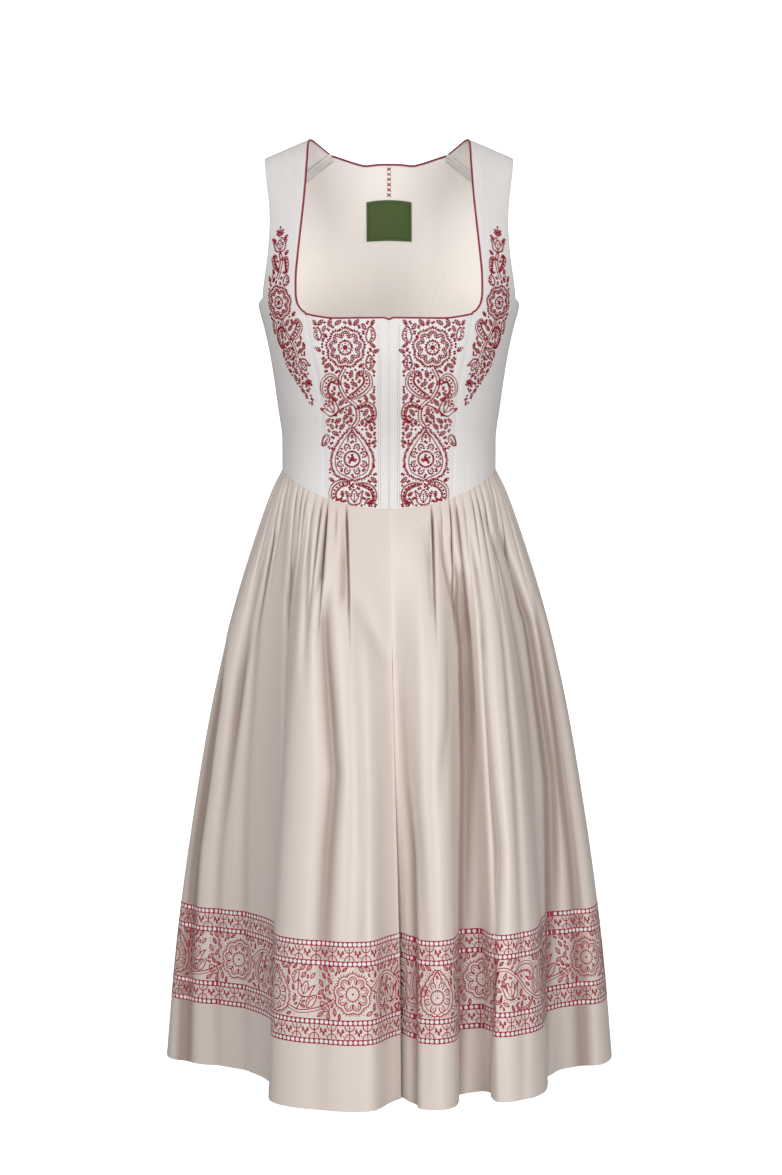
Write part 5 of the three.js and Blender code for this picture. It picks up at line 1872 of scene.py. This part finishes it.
class StageOperator(Operator):
    """Floor, backdrop, soft lights and camera"""

    bl_idname = "dirndl.stage"
    bl_label = "Stage"

    def execute(self, context):
        settings = context.scene.dirndl_stage
        scene = context.scene
        scene.view_settings.view_transform = "Standard"
        world = bpy.data.worlds.new("studio")
        world.use_nodes = True
        backlight = world.node_tree.nodes["Background"]
        backlight.inputs["Color"].default_value = (1, 1, 1, 1)
        backlight.inputs["Strength"].default_value = WORLD_LIGHT
        scene.world = world
        self.plane("floor", *FLOOR)
        self.plane("backdrop", *BACKDROP)
        self.light("key", (-1.7, -3.3, 0.9), settings.key, 2.0)
        self.light("fill", (1.7, -2.9, -0.2), settings.fill, 1.6)
        self.light("back", (0, 3.6, 1.6), settings.back, 2.4)
        camera = bpy.data.cameras.new("camera")
        camera.sensor_width = SENSOR
        camera.lens = LENS
        camera.clip_end = FARTHEST
        eye = collection_object("camera", camera)
        eye.location = EYE
        eye.rotation_euler = (math.radians(90 - EYE_TILT), 0, 0)
        scene.camera = eye
        return {"FINISHED"}

    def plane(self, name, place, turn, size, glow):
        half = size / 2
        mesh = mesh_from(name, [(-half, -half, 0), (half, -half, 0), (half, half, 0), (-half, half, 0)],
                         [(0, 1, 2, 3)])
        look = Look(name, {"Roughness": 0.9, "Emission Strength": glow})
        place_in = look.node("ShaderNodeTexCoord", output="Object")
        tone = look.noise(look.stretched(place_in, 0.6, 0.6))
        look.feed("Base Color", look.mix(tone, (0.9, 0.9, 0.9), (0.88, 0.88, 0.88)))
        look.feed("Emission Color", look.mix(tone, (1.0, 1.0, 1.0), (0.985, 0.985, 0.985)))
        mesh.materials.append(look.material)
        piece = collection_object(name, mesh)
        piece.location = place
        piece.rotation_euler = (math.radians(turn), 0, 0)
        piece.visible_diffuse = piece.visible_glossy = False

    def light(self, name, place, power, size):
        lamp = bpy.data.lights.new(name, "AREA")
        lamp.energy = power
        lamp.size = size
        lit = collection_object(name, lamp)
        lit.location = place
        aim = np.array(LIGHTS_AIM) - np.array(place)
        lit.rotation_euler = Vector(aim).to_track_quat("-Z", "Y").to_euler()


class DirndlPanel(Panel):
    bl_idname = "VIEW3D_PT_dirndl"
    bl_label = "Dirndl"
    bl_space_type = "VIEW_3D"
    bl_region_type = "UI"
    bl_category = "Dirndl"

    def draw(self, context):
        for key, group, _ in SETTINGS:
            box = self.layout.box()
            for name in group.__annotations__:
                box.prop(getattr(context.scene, key), name)
        for operator in OPERATORS:
            self.layout.operator(operator.bl_idname)


SETTINGS = (
    ("dirndl_bodice", BodiceSettings, "Linen and lining"),
    ("dirndl_skirt", SkirtSettings, "Satin"),
    ("dirndl_trim", TrimSettings, "Piping and label"),
    ("dirndl_thread", ThreadSettings, "Embroidery and band"),
    ("dirndl_stage", StageSettings, "Lights"),
)
OPERATORS = (
    BodiceOperator,
    LiningOperator,
    PipingOperator,
    SkirtOperator,
    EmbroideryOperator,
    BorderOperator,
    StageOperator,
)


def register():
    for key, group, description in SETTINGS:
        bpy.utils.register_class(group)
        pointer = PointerProperty(type=group, name=description, description=description)
        setattr(bpy.types.Scene, key, pointer)
    for kind in (*OPERATORS, DirndlPanel):
        bpy.utils.register_class(kind)


def unregister():
    for kind in (DirndlPanel, *reversed(OPERATORS)):
        bpy.utils.unregister_class(kind)
    for key, group, _ in reversed(SETTINGS):
        delattr(bpy.types.Scene, key)
        bpy.utils.unregister_class(group)


# Held, what it hangs from or lies on, and the pieces sewn or printed on it, for each kind of cloth.
SHEETS = (
    ("linen_front_center", "hung", ("linen_front_side",), ("embroidery_front", "topstitch")),
    ("linen_front_side", "hung", ("linen_back_center",), ("embroidery_strap",)),
    ("linen_side", "hung", ("linen_front_side", "linen_back_side"), ()),
    ("linen_back_side", "hung", ("linen_back_center",), ()),
    ("linen_back_center", "hung", ("linen_front_side_left", "linen_front_side_right"), ()),
    ("lining_center", "hung", ("linen_back_center",), ("cross_stitches",)),
    ("lining_side", "hung", ("linen_back_side",), ()),
    ("seam_tape", "laid", ("lining_center",), ()),
    ("label_cloth", "laid", ("lining_center",), ("label_stitches",)),
    ("satin_front", "gathered", ("linen_front_side", "linen_side"), ("border_front",)),
    ("satin_back", "gathered", ("linen_back_side", "linen_side"), ("border_back",)),
)


def state_sheets():
    """States the flat size that each sheet was cut to, and prints it."""
    scene = bpy.context.scene.objects

    for piece in [piece for piece in scene if "cut" in piece]:
        stem, held, below, sewn_on = next(row for row in SHEETS if piece.name.startswith(row[0]))
        width, length, area = piece["cut"]
        area = None if held == "gathered" else min(area, width * length)
        print(f"sheet {piece.name}: {width * 1000:.0f} x {length * 1000:.0f} mm, held {held}, area {area}")


def build():
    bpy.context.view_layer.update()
    register()
    for operator in OPERATORS:
        space, name = operator.bl_idname.split(".")
        getattr(getattr(bpy.ops, space), name)()
    state_sheets()


if __name__ == "__main__":
    build()
